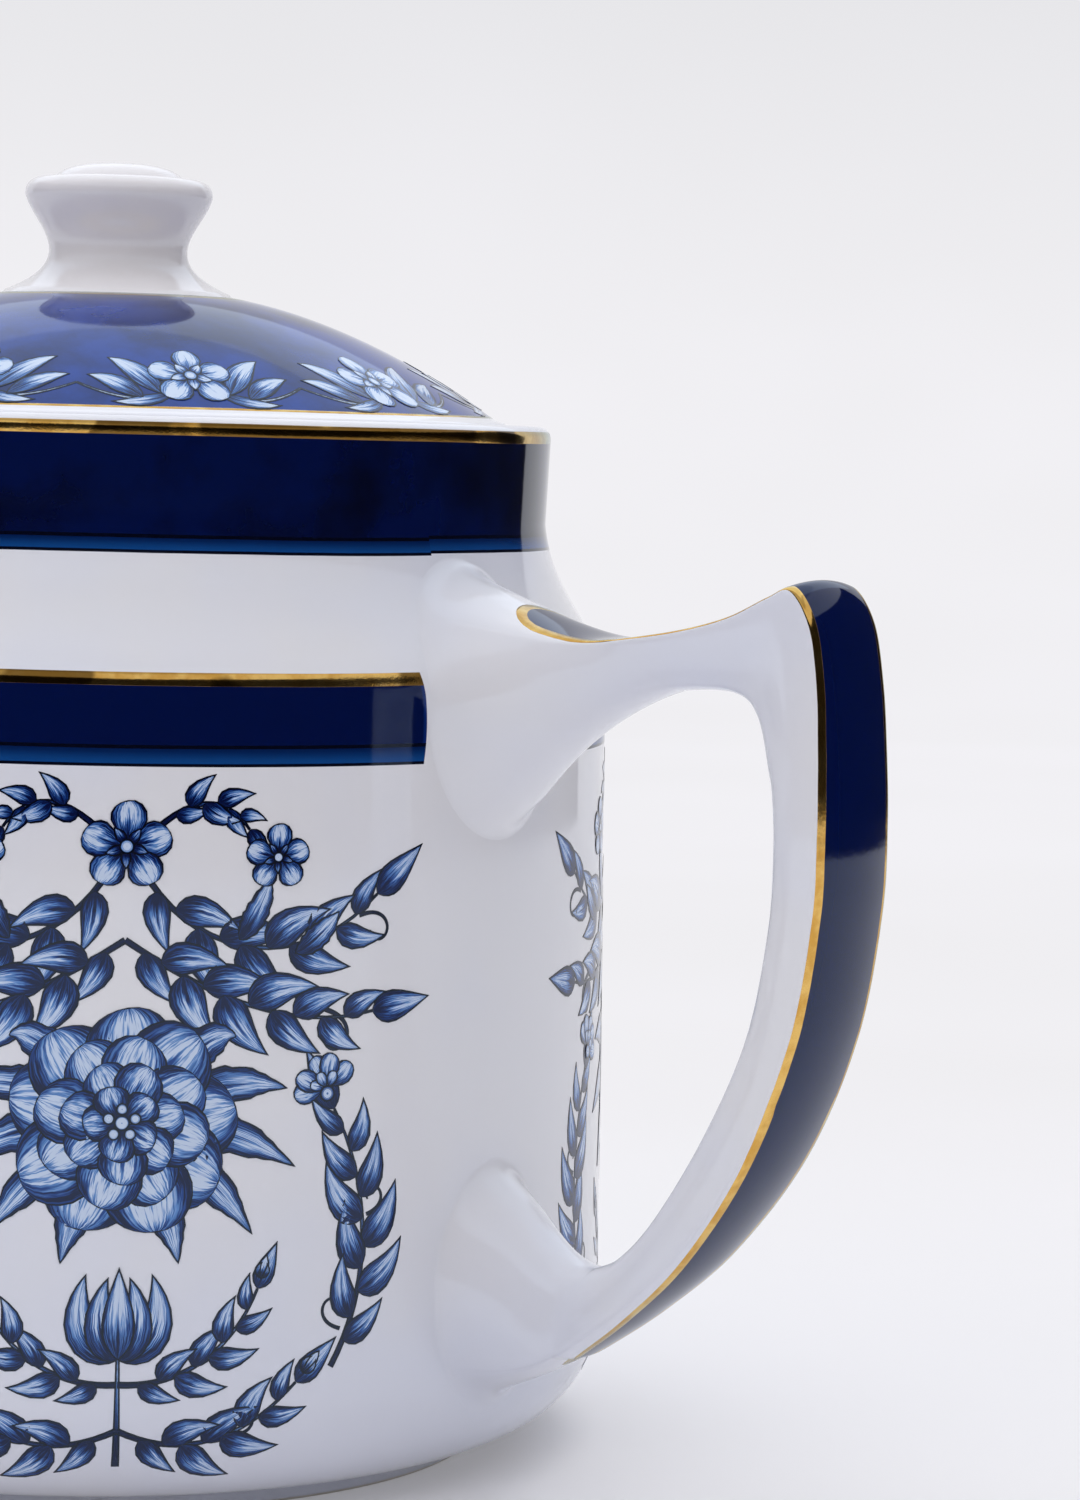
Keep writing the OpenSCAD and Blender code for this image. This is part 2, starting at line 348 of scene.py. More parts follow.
class Wires:
    """Adds nodes to a tree and joins them up."""

    def __init__(self, tree: NodeTree) -> None:
        """Keeps the tree to work on."""
        self.tree = tree
        self.count = 0

    def add(self, kind: str, inputs: dict[Any, Any] | None = None, **settings: Any) -> Node:
        """Adds a node.

        Args:
            kind: The node's type name.
            inputs: Sockets by name or number, each with a value or with the socket that feeds it.
            settings: Properties of the node itself.

        Returns:
            The node.
        """
        node = self.tree.nodes.new(kind)
        row, column = divmod(self.count, NODES_A_ROW)
        node.location = (NODE_SPACING[0] * column, -NODE_SPACING[1] * row)
        self.count += 1
        for key, value in settings.items():
            setattr(node, key, value)
        for key, value in (inputs or {}).items():
            if isinstance(value, Socket):
                self.tree.links.new(value, node.inputs[key])
            elif value is not None:
                node.inputs[key].default_value = value
        return node

    def math(self, operation: str, a: Any, b: Any = None, clamp: bool = False) -> Socket:
        """A Math node's result."""
        return self.add("ShaderNodeMath", {0: a, 1: b}, operation=operation, use_clamp=clamp).outputs[0]

    def plus(self, a: Any, b: Any, clamp: bool = False) -> Socket:
        """The sum of two numbers."""
        return self.math("ADD", a, b, clamp)

    def minus(self, a: Any, b: Any, clamp: bool = False) -> Socket:
        """The first number less the second."""
        return self.math("SUBTRACT", a, b, clamp)

    def times(self, a: Any, b: Any, clamp: bool = False) -> Socket:
        """The product of two numbers."""
        return self.math("MULTIPLY", a, b, clamp)

    def over(self, a: Any, b: Any, clamp: bool = False) -> Socket:
        """The first number divided by the second."""
        return self.math("DIVIDE", a, b, clamp)

    def larger(self, a: Any, b: Any) -> Socket:
        """The larger of two numbers."""
        return self.math("MAXIMUM", a, b)

    def above(self, a: Any, limit: float) -> Socket:
        """1 where a number is above a limit, and 0 elsewhere."""
        return self.math("GREATER_THAN", a, limit)

    def vector(self, operation: str, a: Any, b: Any = None) -> Socket:
        """A Vector Math node's vector."""
        return self.add("ShaderNodeVectorMath", {0: a, 1: b}, operation=operation).outputs[0]

    def scaled(self, vector: Any, factor: Any) -> Socket:
        """A vector times a number."""
        node = self.add("ShaderNodeVectorMath", {"Vector": vector, "Scale": factor}, operation="SCALE")
        return node.outputs[0]

    def axes(self, vector: Socket) -> Sequence[Socket]:
        """The x, y and z of a vector."""
        return self.add("ShaderNodeSeparateXYZ", {0: vector}).outputs[:3]

    def joined(self, x: Any = None, y: Any = None, z: Any = None) -> Socket:
        """A vector made of three numbers, 0 for those left out."""
        return self.add("ShaderNodeCombineXYZ", {0: x, 1: y, 2: z}).outputs[0]

    def off_axis(self, x: Socket, y: Socket) -> Socket:
        """The distance from the pot's axis."""
        return self.math("POWER", self.plus(self.times(x, x), self.times(y, y)), 0.5)

    def mix(self, share: Any, a: Any, b: Any) -> Socket:
        """A colour between a and b."""
        node = self.add("ShaderNodeMix", {0: share, 6: a, 7: b}, data_type="RGBA", clamp_factor=True)
        return node.outputs[2]

    def blend(self, share: Any, a: Any, b: Any) -> Socket:
        """A number between a and b."""
        node = self.add("ShaderNodeMix", {0: share, 2: a, 3: b}, data_type="FLOAT", clamp_factor=True)
        return node.outputs[0]

    def ramp(self, value: Any, low: float, high: float, start: float = 0.0, end: float = 1.0) -> Socket:
        """Eases a number from start to end while value goes from low to high."""
        inputs = {"Value": value, "From Min": low, "From Max": high, "To Min": start, "To Max": end}
        return self.add("ShaderNodeMapRange", inputs, interpolation_type="SMOOTHSTEP").outputs[0]

    def noise(self, vector: Any, grain: Grain) -> Socket:
        """A noise value of about 0 to 1."""
        inputs = dict(zip(("Scale", "Detail", "Roughness"), grain.value))
        return self.add("ShaderNodeTexNoise", {"Vector": vector, **inputs}).outputs[0]

    def wave(self, vector: Any, grain: Grain, size: float) -> Socket:
        """A noise about zero that swings over size."""
        return self.times(self.minus(self.noise(vector, grain), 0.5), size)

    def place(self) -> Socket:
        """The piece's own object coordinates."""
        return self.add("ShaderNodeTexCoord").outputs["Object"]

    def number(self, name: str) -> Socket:
        """A number stored on the mesh."""
        node = self.add("ShaderNodeAttribute", attribute_name=name, attribute_type="GEOMETRY")
        return node.outputs["Fac"]

    def group(self, tree: NodeTree, inputs: dict[Any, Any]) -> Sequence[Socket]:
        """Places a node group and returns its outputs."""
        return self.add("ShaderNodeGroup", inputs, node_tree=tree).outputs

    def principled(self, **inputs: Any) -> Socket:
        """A Principled shader, with underscores for the spaces in its inputs' names."""
        named = {key.replace("_", " "): value for key, value in inputs.items()}
        return self.add("ShaderNodeBsdfPrincipled", named).outputs[0]

    def surface(self, shader: Socket) -> None:
        """Ends a material in a shader."""
        self.add("ShaderNodeOutputMaterial", {"Surface": shader})


Fill = Callable[[Wires, dict[str, Socket]], dict[str, Socket]]


def shader_group(name: str, inputs: dict[str, Any], outputs: Sequence[str], fill: Fill) -> NodeTree:
    """Builds a shader node group.

    Args:
        name: The group's name.
        inputs: Each input's default: a number, a colour, or None for a vector.
        outputs: The outputs' names. One called Colour is a colour, and the others are numbers.
        fill: Adds the inside, from the input sockets to what each output takes.

    Returns:
        The group's tree.
    """
    tree = bpy.data.node_groups.new(name, "ShaderNodeTree")
    for label, default in inputs.items():
        kind = "Vector" if default is None else "Color" if isinstance(default, tuple) else "Float"
        socket = tree.interface.new_socket(label, in_out="INPUT", socket_type="NodeSocket" + kind)
        if default is not None:
            socket.default_value = default
    for label in outputs:
        kind = "Color" if label == "Colour" else "Float"
        tree.interface.new_socket(label, in_out="OUTPUT", socket_type="NodeSocket" + kind)
    wires = Wires(tree)
    entry = wires.add("NodeGroupInput").outputs
    wires.add("NodeGroupOutput", fill(wires, {label: entry[label] for label in inputs}))
    return tree


def geometry_group(name: str, inputs: dict[str, str]) -> tuple[Wires, Sequence[Socket], dict[str, str]]:
    """Starts a Geometry Nodes tree that takes and gives geometry.

    Args:
        name: The tree's name.
        inputs: Its further inputs, each with its kind.

    Returns:
        Its wires, the sockets of its entry, and the inputs' identifiers by name.
    """
    tree = bpy.data.node_groups.new(name, "GeometryNodeTree")
    face = tree.interface
    face.new_socket("Geometry", in_out="INPUT", socket_type="NodeSocketGeometry")
    named = {
        label: face.new_socket(label, in_out="INPUT", socket_type="NodeSocket" + kind).identifier
        for label, kind in inputs.items()
    }
    face.new_socket("Geometry", in_out="OUTPUT", socket_type="NodeSocketGeometry")
    w = Wires(tree)
    return w, w.add("NodeGroupInput").outputs, named


def run_group(piece: Piece, w: Wires, named: dict[str, str], values: dict[str, Any]) -> Mesh:
    """Runs a Geometry Nodes tree on a piece and keeps what it makes as a plain mesh.

    Args:
        piece: The piece to run it on.
        w: The tree's wires.
        named: The tree's inputs' identifiers by name.
        values: A value for each of those inputs.

    Returns:
        The piece's new mesh.
    """
    run = piece.modifiers.new(w.tree.name, "NODES")
    run.node_group = w.tree
    for label, value in values.items():
        run[named[label]] = value
    return evaluated_copy(piece, piece.name)


# ---- Finishes ----


class Shade(Enum):
    """The colours of the pot and its studio, as a screen shows them."""

    GLAZE_WARM = (236, 235, 238)
    GLAZE_COOL = (230, 232, 243)
    GLAZE_KNOB = (235, 231, 232)
    BISQUE = (226, 219, 208)
    SPECK = (96, 84, 70)
    COBALT = (2, 16, 66)
    COBALT_DEEP = (3, 16, 66)
    COBALT_BRIGHT = (12, 44, 120)
    COBALT_LID = (17, 56, 146)
    STRIPE = (16, 70, 136)
    STRIPE_DARK = (3, 30, 80)
    INK = (4, 6, 26)
    GOLD = (236, 194, 112)
    GOLD_DEEP = (214, 164, 78)
    GOLD_SHADE = (104, 74, 28)
    PRINT_DARK = (6, 15, 58)
    PRINT_MID = (24, 62, 136)
    PRINT_LIGHT = (92, 140, 204)
    PRINT_PALE = (204, 219, 242)
    PAPER = (239, 238, 241)
    PAPER_COOL = (242, 241, 245)
    PAPER_WALL = (226, 226, 229)
    FELT = (34, 34, 38)
    FELT_PALE = (40, 40, 44)

    @property
    def colour(self) -> Colour:
        """The linear colour."""
        return linear(self.value)


class Effects:
    """The node groups that several finishes share, each built once."""

    def __init__(self) -> None:
        """Builds the groups."""
        cobalt = {"Vector": None, "Deep": Shade.COBALT_DEEP.colour, "Colour": Shade.COBALT.colour}
        heights = {"Height": 0.0, "Low": 0.0, "High": 0.01, "Soft": 5e-5}
        self.stripe = shader_group("stripe_between", heights, ("Mask", "Crown"), self._stripe)
        ripple = {"Vector": None, "Fine": 0.3, "Broad": 1.0}
        self.ripple = shader_group("glaze_ripple", ripple, ("Height",), self._ripple)
        specks = {"Vector": None, "Spacing": 0.009, "Size": 0.014}
        self.specks = shader_group("kiln_specks", specks, ("Mask",), self._specks)
        self.glaze = shader_group("glaze_tint", {"Vector": None, "Height": 0.0}, ("Colour",), self._glaze)
        self.cobalt = shader_group("cobalt_depth", cobalt, ("Colour",), self._cobalt)
        gold = ("Colour", "Roughness", "Height")
        self.gilding = shader_group("gilding", {"Vector": None, "Dull": 0.0}, gold, self._gilding)

    @staticmethod
    def _stripe(w: Wires, i: dict[str, Socket]) -> dict[str, Socket]:
        """A mask of 1 between two heights, with soft edges, and a crown that rises to 1 in its middle."""
        above, below = w.minus(i["Height"], i["Low"]), w.minus(i["High"], i["Height"])
        mask = w.times(w.over(above, i["Soft"], clamp=True), w.over(below, i["Soft"], clamp=True))
        width = w.math("POWER", w.minus(i["High"], i["Low"]), 2.0)
        return {"Mask": mask, "Crown": w.times(w.over(w.times(above, below), width), 4.0, clamp=True)}

    @staticmethod
    def _ripple(w: Wires, i: dict[str, Socket]) -> dict[str, Socket]:
        """The fine orange peel and the broad waves of a fired glaze."""
        fine = w.times(w.noise(i["Vector"], Grain.ORANGE_PEEL), i["Fine"])
        return {"Height": w.plus(fine, w.times(w.noise(i["Vector"], Grain.GLAZE_WAVE), i["Broad"]))}

    @staticmethod
    def _specks(w: Wires, i: dict[str, Socket]) -> dict[str, Socket]:
        """Rare dark points that iron in the clay leaves under a glaze."""
        inputs = {"Vector": i["Vector"], "Scale": w.over(1.0, i["Spacing"])}
        cells = w.add("ShaderNodeTexVoronoi", inputs, feature="F1").outputs
        near = w.math("LESS_THAN", cells["Distance"], i["Size"])
        chosen = w.add("ShaderNodeSeparateColor", {0: cells["Color"]}).outputs[0]
        return {"Mask": w.times(near, w.above(chosen, 0.82))}

    @staticmethod
    def _glaze(w: Wires, i: dict[str, Socket]) -> dict[str, Socket]:
        """White porcelain that turns a little cooler in soft clouds and towards the bottom."""
        cloud = w.ramp(w.noise(i["Vector"], Grain.GLAZE_CLOUD), 0.35, 0.7)
        tint = w.plus(cloud, w.ramp(i["Height"], 0.0, 0.03, 0.35, 0.0), clamp=True)
        return {"Colour": w.mix(tint, Shade.GLAZE_WARM.colour, Shade.GLAZE_COOL.colour)}

    @staticmethod
    def _cobalt(w: Wires, i: dict[str, Socket]) -> dict[str, Socket]:
        """Cobalt under glaze, in soft clouds with a fine grain."""
        cloud = w.ramp(w.noise(i["Vector"], Grain.COBALT_CLOUD), 0.32, 0.68)
        grain = w.times(w.noise(i["Vector"], Grain.COBALT_DUST), 0.25)
        return {"Colour": w.mix(w.plus(cloud, grain, clamp=True), i["Deep"], i["Colour"])}

    @staticmethod
    def _gilding(w: Wires, i: dict[str, Socket]) -> dict[str, Socket]:
        """Burnished gold: slow waves, a fine grain in places, slight brush drag and dark patches of painted
        reflection. Its height is in mm.
        """
        place = i["Vector"]
        drag, wave = w.noise(place, Grain.GOLD_DRAG), w.noise(place, Grain.GOLD_WAVE)
        patch = w.ramp(w.noise(place, Grain.GOLD_PATCH), 0.46, 0.62)
        grain = w.times(w.noise(place, Grain.GOLD_DUST), w.times(patch, 0.018))
        height = w.plus(w.times(wave, 0.95), w.times(drag, 0.02))
        colour = w.mix(w.ramp(drag, 0.35, 0.65), Shade.GOLD_DEEP.colour, Shade.GOLD.colour)
        # Dark brown patches painted into the gold stand for its reflection of a dark room: painted
        # reflection.
        dull = w.times(w.ramp(w.noise(place, Grain.GOLD_DULL), 0.465, 0.5), i["Dull"])
        return {
            "Colour": w.mix(dull, colour, Shade.GOLD_SHADE.colour),
            "Roughness": w.blend(patch, 0.11, 0.2),
            "Height": w.plus(height, grain),
        }


@dataclass(frozen=True)
class Glost:
    """How a glost-fired surface takes light. Heights are in millimetres."""

    roughness: float = 0.06
    gloss_spread: Pair = (0.85, 1.2)
    ior: float = 1.52
    level: float = 0.55
    cast: Triple = (0.68, 0.84, 1.0)
    bisque_roughness: float = 0.7
    specks: float = 0.6
    ripple_fine: float = 0.0022
    ripple_broad: float = 0.011
    gold_crown: float = 0.055
    # How much of the gold gets dark patches of painted reflection.
    gold_painted_reflection: float = 0.0


def new_material(name: str) -> tuple[Material, Wires]:
    """An empty node material and its wires."""
    material = bpy.data.materials.new(name)
    material.use_nodes = True
    material.node_tree.nodes.clear()
    return material, Wires(material.node_tree)


HEM_LINES = (0.42, 0.5)  # millimetres: the lower and the upper black line
HEM_FADE = (0.3, 0.4)


class GlazeWork:
    """A glazed material in the making."""

    def __init__(self, name: str, effects: Effects, glost: Glost = Glost()) -> None:
        """Starts the material."""
        self.material, self.w = new_material(name)
        self.effects, self.glost = effects, glost
        self.place = self.w.place()

    def white(self, height: Socket) -> Socket:
        """The white glaze with its specks."""
        w = self.w
        white = w.group(self.effects.glaze, {"Vector": self.place, "Height": height})[0]
        specks = w.group(self.effects.specks, {"Vector": self.place})[0]
        return w.mix(w.times(specks, self.glost.specks), white, Shade.SPECK.colour)

    def cobalt(self, **shades: Shade) -> Socket:
        """Cobalt in its own shades, or in others named Deep and Colour."""
        colours = {key: shade.colour for key, shade in shades.items()}
        return self.w.group(self.effects.cobalt, {"Vector": self.place, **colours})[0]

    def stripe(self, height: Socket, low: float, high: float, soft: float = 0.06) -> Sequence[Socket]:
        """The mask and the crown of a stripe between two heights in millimetres."""
        inputs = {"Height": height, "Low": low * MM, "High": high * MM, "Soft": soft * MM}
        return self.w.group(self.effects.stripe, inputs)

    def between(self, height: Socket, low: float, high: float, soft: float = 0.06) -> Socket:
        """A mask between two heights in millimetres."""
        return self.stripe(height, low, high, soft)[0]

    def hemmed(self, colour: Socket, height: Socket, low: float, high: float, inside: Socket) -> Socket:
        """Adds the light stripe with its black lines that hems the foot of a band.

        Args:
            colour: What lies under it.
            height: Height up the pot.
            low: Lower edge of the stripe's lower line.
            high: Upper edge of its upper line.
            inside: A mask of where the band is.

        Returns:
            The colour with the stripe on it.
        """
        w = self.w
        rise = w.ramp(height, (low + HEM_FADE[0]) * MM, (high - HEM_FADE[1]) * MM)
        tone = w.mix(rise, Shade.STRIPE.colour, Shade.STRIPE_DARK.colour)
        whole, lower, upper = (
            w.times(self.between(height, *edges), inside)
            for edges in ((low, high), (low, low + HEM_LINES[0]), (high - HEM_LINES[1], high))
        )
        return w.mix(w.larger(lower, upper), w.mix(whole, colour, tone), Shade.INK.colour)

    def finished(
        self,
        colour: Socket,
        gold: Socket | None = None,
        crown: Socket | None = None,
        matt: Socket | None = None,
    ) -> Material:
        """Ends the material in its shader.

        Args:
            colour: The glazed colour.
            gold: A mask of the gilded places, if there are any.
            crown: How the gilded lines swell across their width, from 0 to 1.
            matt: A mask of the unglazed places, if there are any.

        Returns:
            The material.
        """
        w, glost = self.w, self.glost
        inputs = {"Vector": self.place, "Fine": glost.ripple_fine, "Broad": glost.ripple_broad}
        ripple = w.group(self.effects.ripple, inputs)[0]
        glossy, dull = (glost.roughness * share for share in glost.gloss_spread)
        rough = w.blend(w.noise(self.place, Grain.GLOSS), glossy, dull)
        bump = {"Strength": 1.0, "Distance": MM}
        normal = w.add("ShaderNodeBump", {**bump, "Height": ripple}).outputs[0]
        metallic = None
        if matt is not None:
            colour = w.mix(matt, colour, Shade.BISQUE.colour)
            rough = w.blend(matt, rough, glost.bisque_roughness)
        if gold is not None:
            leaf = w.group(self.effects.gilding, {"Vector": self.place, "Dull": glost.gold_painted_reflection})
            colour = w.mix(gold, colour, leaf["Colour"])
            rough = w.blend(gold, rough, leaf["Roughness"])
            worked = leaf["Height"]
            if crown is not None:
                worked = w.plus(worked, w.times(crown, glost.gold_crown))
            raised = w.add("ShaderNodeBump", {**bump, "Height": worked, "Normal": normal}).outputs[0]
            blend = w.add("ShaderNodeMix", {0: gold, 4: normal, 5: raised}, data_type="VECTOR")
            normal = w.vector("NORMALIZE", blend.outputs[1])
            metallic = gold
        w.surface(w.principled(
            Base_Color=colour, Metallic=metallic, Roughness=rough, Normal=normal, IOR=glost.ior,
            Specular_IOR_Level=glost.level, Specular_Tint=(*glost.cast, 1.0),
        ))
        return self.material


# ---- The pot's castings ----


class Part:
    """What every piece of the pot has in common."""

    name: str
    body: str
    slot: str
    nodes: tuple[str, ...]

    def finish_piece(self, piece: Piece, material: Material) -> Piece:
        """Dresses a piece, puts it on the body it rides on, hides the nodes it stands for and logs its
        triangles.
        """
        piece.data.materials.clear()
        piece.data.materials.append(material)
        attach(piece, self.body)
        if self.nodes:
            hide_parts(*self.nodes)
        corners = sum(len(face.vertices) - 2 for face in piece.data.polygons)
        LOG.info("%s rides on %s with %d triangles", piece.name, self.body, corners)
        return piece


def drilled(piece: Piece, cutter: Piece) -> None:
    """Cuts a helper's solid out of a piece and removes the helper."""
    cut = piece.modifiers.new("drill", "BOOLEAN")
    cut.operation = "DIFFERENCE"
    cut.solver = "EXACT"
    cut.object = cutter
    mesh = evaluated_copy(piece, piece.data.name)
    mesh.set_sharp_from_angle(angle=SHARP_TURN)
    drop(cutter)


@dataclass
class PotBody(Part):
    """The cast shell: wall, shoulder, collar, lid ledge, inside and foot ring."""

    effects: Effects
    name: str = "body_shell"
    body: str = "pot"
    slot: str = "porcelain"
    nodes: tuple[str, ...] = ("pot_body",)
    segments: int = 256
    foot_h: float = 2.8
    floor_z: float = 6.2
    foot_r: float = 51.0
    foot_w: float = 4.6
    low_r: float = 66.1
    corner_r: float = 13.0
    top_r: float = 65.0
    wall_t: float = 3.4
    shoulder_z: float = 99.5
    collar_r: float = 57.0
    rim_z: float = 132.7
    rim_round: float = 1.6
    gallery_r: float = 52.2
    ledge_z: float = 129.6
    throat_r: float = 46.0
    strainer_z: float = 50.0
    strainer_pitch: float = 6.2
    strainer_r: float = 2.2
    strainer_half: Pair = (9.6, 14.6)
    collar_gold: Pair = (130.4, 132.0)
    collar_hem: Pair = (116.5, 118.75)
    mid_gold: Pair = (101.25, 102.85)
    mid_hem: Pair = (91.8, 94.4)
    mid_stop: float = 11.3
    overlap_at: float = -4.4
    overlap_step: float = 0.24
    wave_size: float = 0.3
    end_bow: float = 290.0
    end_soft: float = 0.001
    # Radians from the band's end over which the painted sheen fades out.
    end_painted_sheen: Pair = (0.004, 0.011)

    def outer_wall(self) -> np.ndarray:
        """The outer wall from the bottom corner to the top of the collar's straight."""
        corner = arc((self.low_r - self.corner_r, self.foot_h + self.corner_r), self.corner_r, -90, 0, 28)
        top = (self.top_r, self.shoulder_z)
        shoulder = cubic([
            top, (self.top_r, self.shoulder_z + 6), (self.collar_r + 0.6, 110.5), (self.collar_r - 0.4, 120)
        ], 44)
        collar = (self.collar_r, self.rim_z - 2.6)
        wall = rows_between(tuple(corner[-1]), top, 18)
        return np.vstack([corner, wall, shoulder, rows_between(tuple(shoulder[-1]), collar, 6), [collar]])

    def outline(self) -> Outline:
        """The whole outline, from the middle of the underside to the middle of the floor."""
        foot_in = self.foot_r - self.foot_w
        foot = [[0, self.foot_h], [foot_in - 5, self.foot_h], [foot_in - 1.2, self.foot_h]]
        inside = cubic([(foot_in - 1.2, 2.8), (foot_in - 0.2, 2.8), (foot_in, 2.2), (foot_in, 1.2)], 6)
        foot += inside[1:].tolist()
        foot += arc((foot_in + 0.6, 0.6), 0.6, 180, 270, 5).tolist()
        foot += arc((self.foot_r - 0.6, 0.6), 0.6, -90, 0, 5).tolist()
        foot += cubic([(self.foot_r, 1.4), (self.foot_r, 2.3), (51.4, 2.8), (52.4, 2.8)], 6).tolist()
        seat_r, ledge_z = self.gallery_r, self.ledge_z
        rim = np.vstack([
            arc((self.collar_r - self.rim_round, self.rim_z - self.rim_round), self.rim_round, 0, 90, 14),
            arc((seat_r + 0.9, self.rim_z - 0.9), 0.9, 90, 180, 8),
            cubic([(seat_r, 130.4), (seat_r, 129.7), (52.0, ledge_z), (51.4, ledge_z)], 5),
            arc((self.throat_r + 0.6, ledge_z - 0.6), 0.6, 90, 180, 5),
            arc((self.throat_r + 0.6, ledge_z - 3.4), 0.6, 180, 270, 5),
        ])
        top_in = self.top_r - self.wall_t
        shoulder = cubic([
            (top_in, self.shoulder_z - 0.5), (top_in, self.shoulder_z + 4.5),
            (self.collar_r - self.wall_t + 0.4, 108.5), (self.collar_r - self.wall_t - 0.6, 117.5),
        ], 30)[::-1]
        low_in, round_in = self.low_r - self.wall_t, self.corner_r - self.wall_t + 1
        corner = arc((low_in - round_in, self.floor_z + round_in), round_in, 0, -90, 18)
        wall = rows_between(tuple(shoulder[-1]), tuple(corner[0]), 18)
        floor = [[20, self.floor_z], [0, self.floor_z]]
        return Outline(np.vstack([foot, self.outer_wall()[1:], rim, shoulder, wall, corner, floor]))

    def strainer_places(self) -> np.ndarray:
        """Middle of each strainer hole, in hexagonal rows inside an ellipse."""
        places = []
        for row in range(-3, 4):
            for column in range(-3, 4):
                y = (column + (row % 2) / 2) * self.strainer_pitch
                z = row * self.strainer_pitch * math.sin(math.radians(60))
                if (y / self.strainer_half[0]) ** 2 + (z / self.strainer_half[1]) ** 2 < 1:
                    places.append((-self.low_r + self.wall_t / 2, y, self.strainer_z + z))
        return np.array(places)

    def strainer_pins(self) -> Piece:
        """The pins that drill the strainer, set out by Geometry Nodes."""
        w, entry, named = geometry_group("strainer_pins", {"Hole Radius": "Float", "Pin Length": "Float"})
        size = {"Vertices": 32, "Radius": entry["Hole Radius"], "Depth": entry["Pin Length"]}
        pin = w.add("GeometryNodeMeshCylinder", size).outputs["Mesh"]
        spread = {"Points": entry[0], "Instance": pin, "Rotation": (0, math.pi / 2, 0)}
        turned_pins = w.add("GeometryNodeInstanceOnPoints", spread).outputs[0]
        real = w.add("GeometryNodeRealizeInstances", {"Geometry": turned_pins}).outputs[0]
        dressed = w.add("GeometryNodeSetMaterial", {"Geometry": real}).outputs[0]
        w.add("NodeGroupOutput", {0: dressed})
        pins = link("strainer_pins", build_mesh("strainer_pins", self.strainer_places(), []))
        run_group(pins, w, named, {"Hole Radius": self.strainer_r * MM, "Pin Length": 3 * self.wall_t * MM})
        return pins

    def material(self) -> Material:
        """White glaze with the collar's band, the band under the shoulder and a bare foot."""
        # The gold lines on the body get dark patches of painted reflection.
        work = GlazeWork("body_glaze", self.effects, Glost(gold_painted_reflection=0.85))
        w = work.w
        x, y, z = w.axes(work.place)
        round_angle = w.math("ARCTAN2", y, x)
        radius = w.off_axis(x, y)
        wave = w.wave(work.place, Grain.BAND_EDGE, self.wave_size * MM)

        # The collar's print overlaps itself beside the handle, in a small step.
        step = w.above(round_angle, math.radians(self.overlap_at))
        band_z = w.minus(z, w.plus(w.times(step, self.overlap_step * MM), wave))
        collar = w.above(radius, (self.collar_r - 2.4) * MM)
        band = work.between(band_z, self.collar_hem[1] - 0.2, self.collar_gold[0] + 0.5)
        deep = work.cobalt(Deep=Shade.INK, Colour=Shade.COBALT_DEEP)
        colour = w.mix(w.times(band, collar), work.white(z), deep)
        colour = work.hemmed(colour, band_z, *self.collar_hem, collar)

        # The band under the shoulder stops short of the handle in a slightly bowed end. Its cobalt is
        # painted lighter just at that end, as a painted sheen.
        wall = w.above(radius, (self.top_r - self.wall_t + 1.5) * MM)
        middle = (self.mid_hem[0] + self.mid_gold[0]) / 2
        off = w.math("ABSOLUTE", w.minus(z, middle * MM))
        from_handle = w.minus(w.math("ABSOLUTE", round_angle), math.radians(self.mid_stop))
        end = w.minus(from_handle, w.times(w.times(off, off), self.end_bow))
        inside = w.times(w.over(end, self.end_soft, clamp=True), wall)
        # Painted sheen: the cobalt turns lighter just at the band's end.
        blue = w.mix(w.ramp(end, *self.end_painted_sheen, 0.75, 0.0), work.cobalt(), Shade.COBALT_BRIGHT.colour)
        band = work.between(z, self.mid_hem[1] - 0.2, self.mid_gold[0] + 0.2)
        colour = w.mix(w.times(band, inside), colour, blue)
        colour = work.hemmed(colour, z, *self.mid_hem, inside)

        edge_z = w.minus(z, w.times(wave, 0.6))
        top, mid = work.stripe(edge_z, *self.collar_gold), work.stripe(edge_z, *self.mid_gold)
        gold = w.larger(w.times(top["Mask"], collar), w.times(mid["Mask"], inside))
        crown = w.plus(top["Crown"], mid["Crown"])
        return work.finished(colour, gold, crown, matt=work.between(z, -0.2, 0.45, 0.12))

    def build(self) -> Piece:
        """Makes the shell and drills its strainer."""
        piece = link(self.name, self.outline().spun(self.name, self.segments))
        drilled(piece, self.strainer_pins())
        return self.finish_piece(piece, self.material())


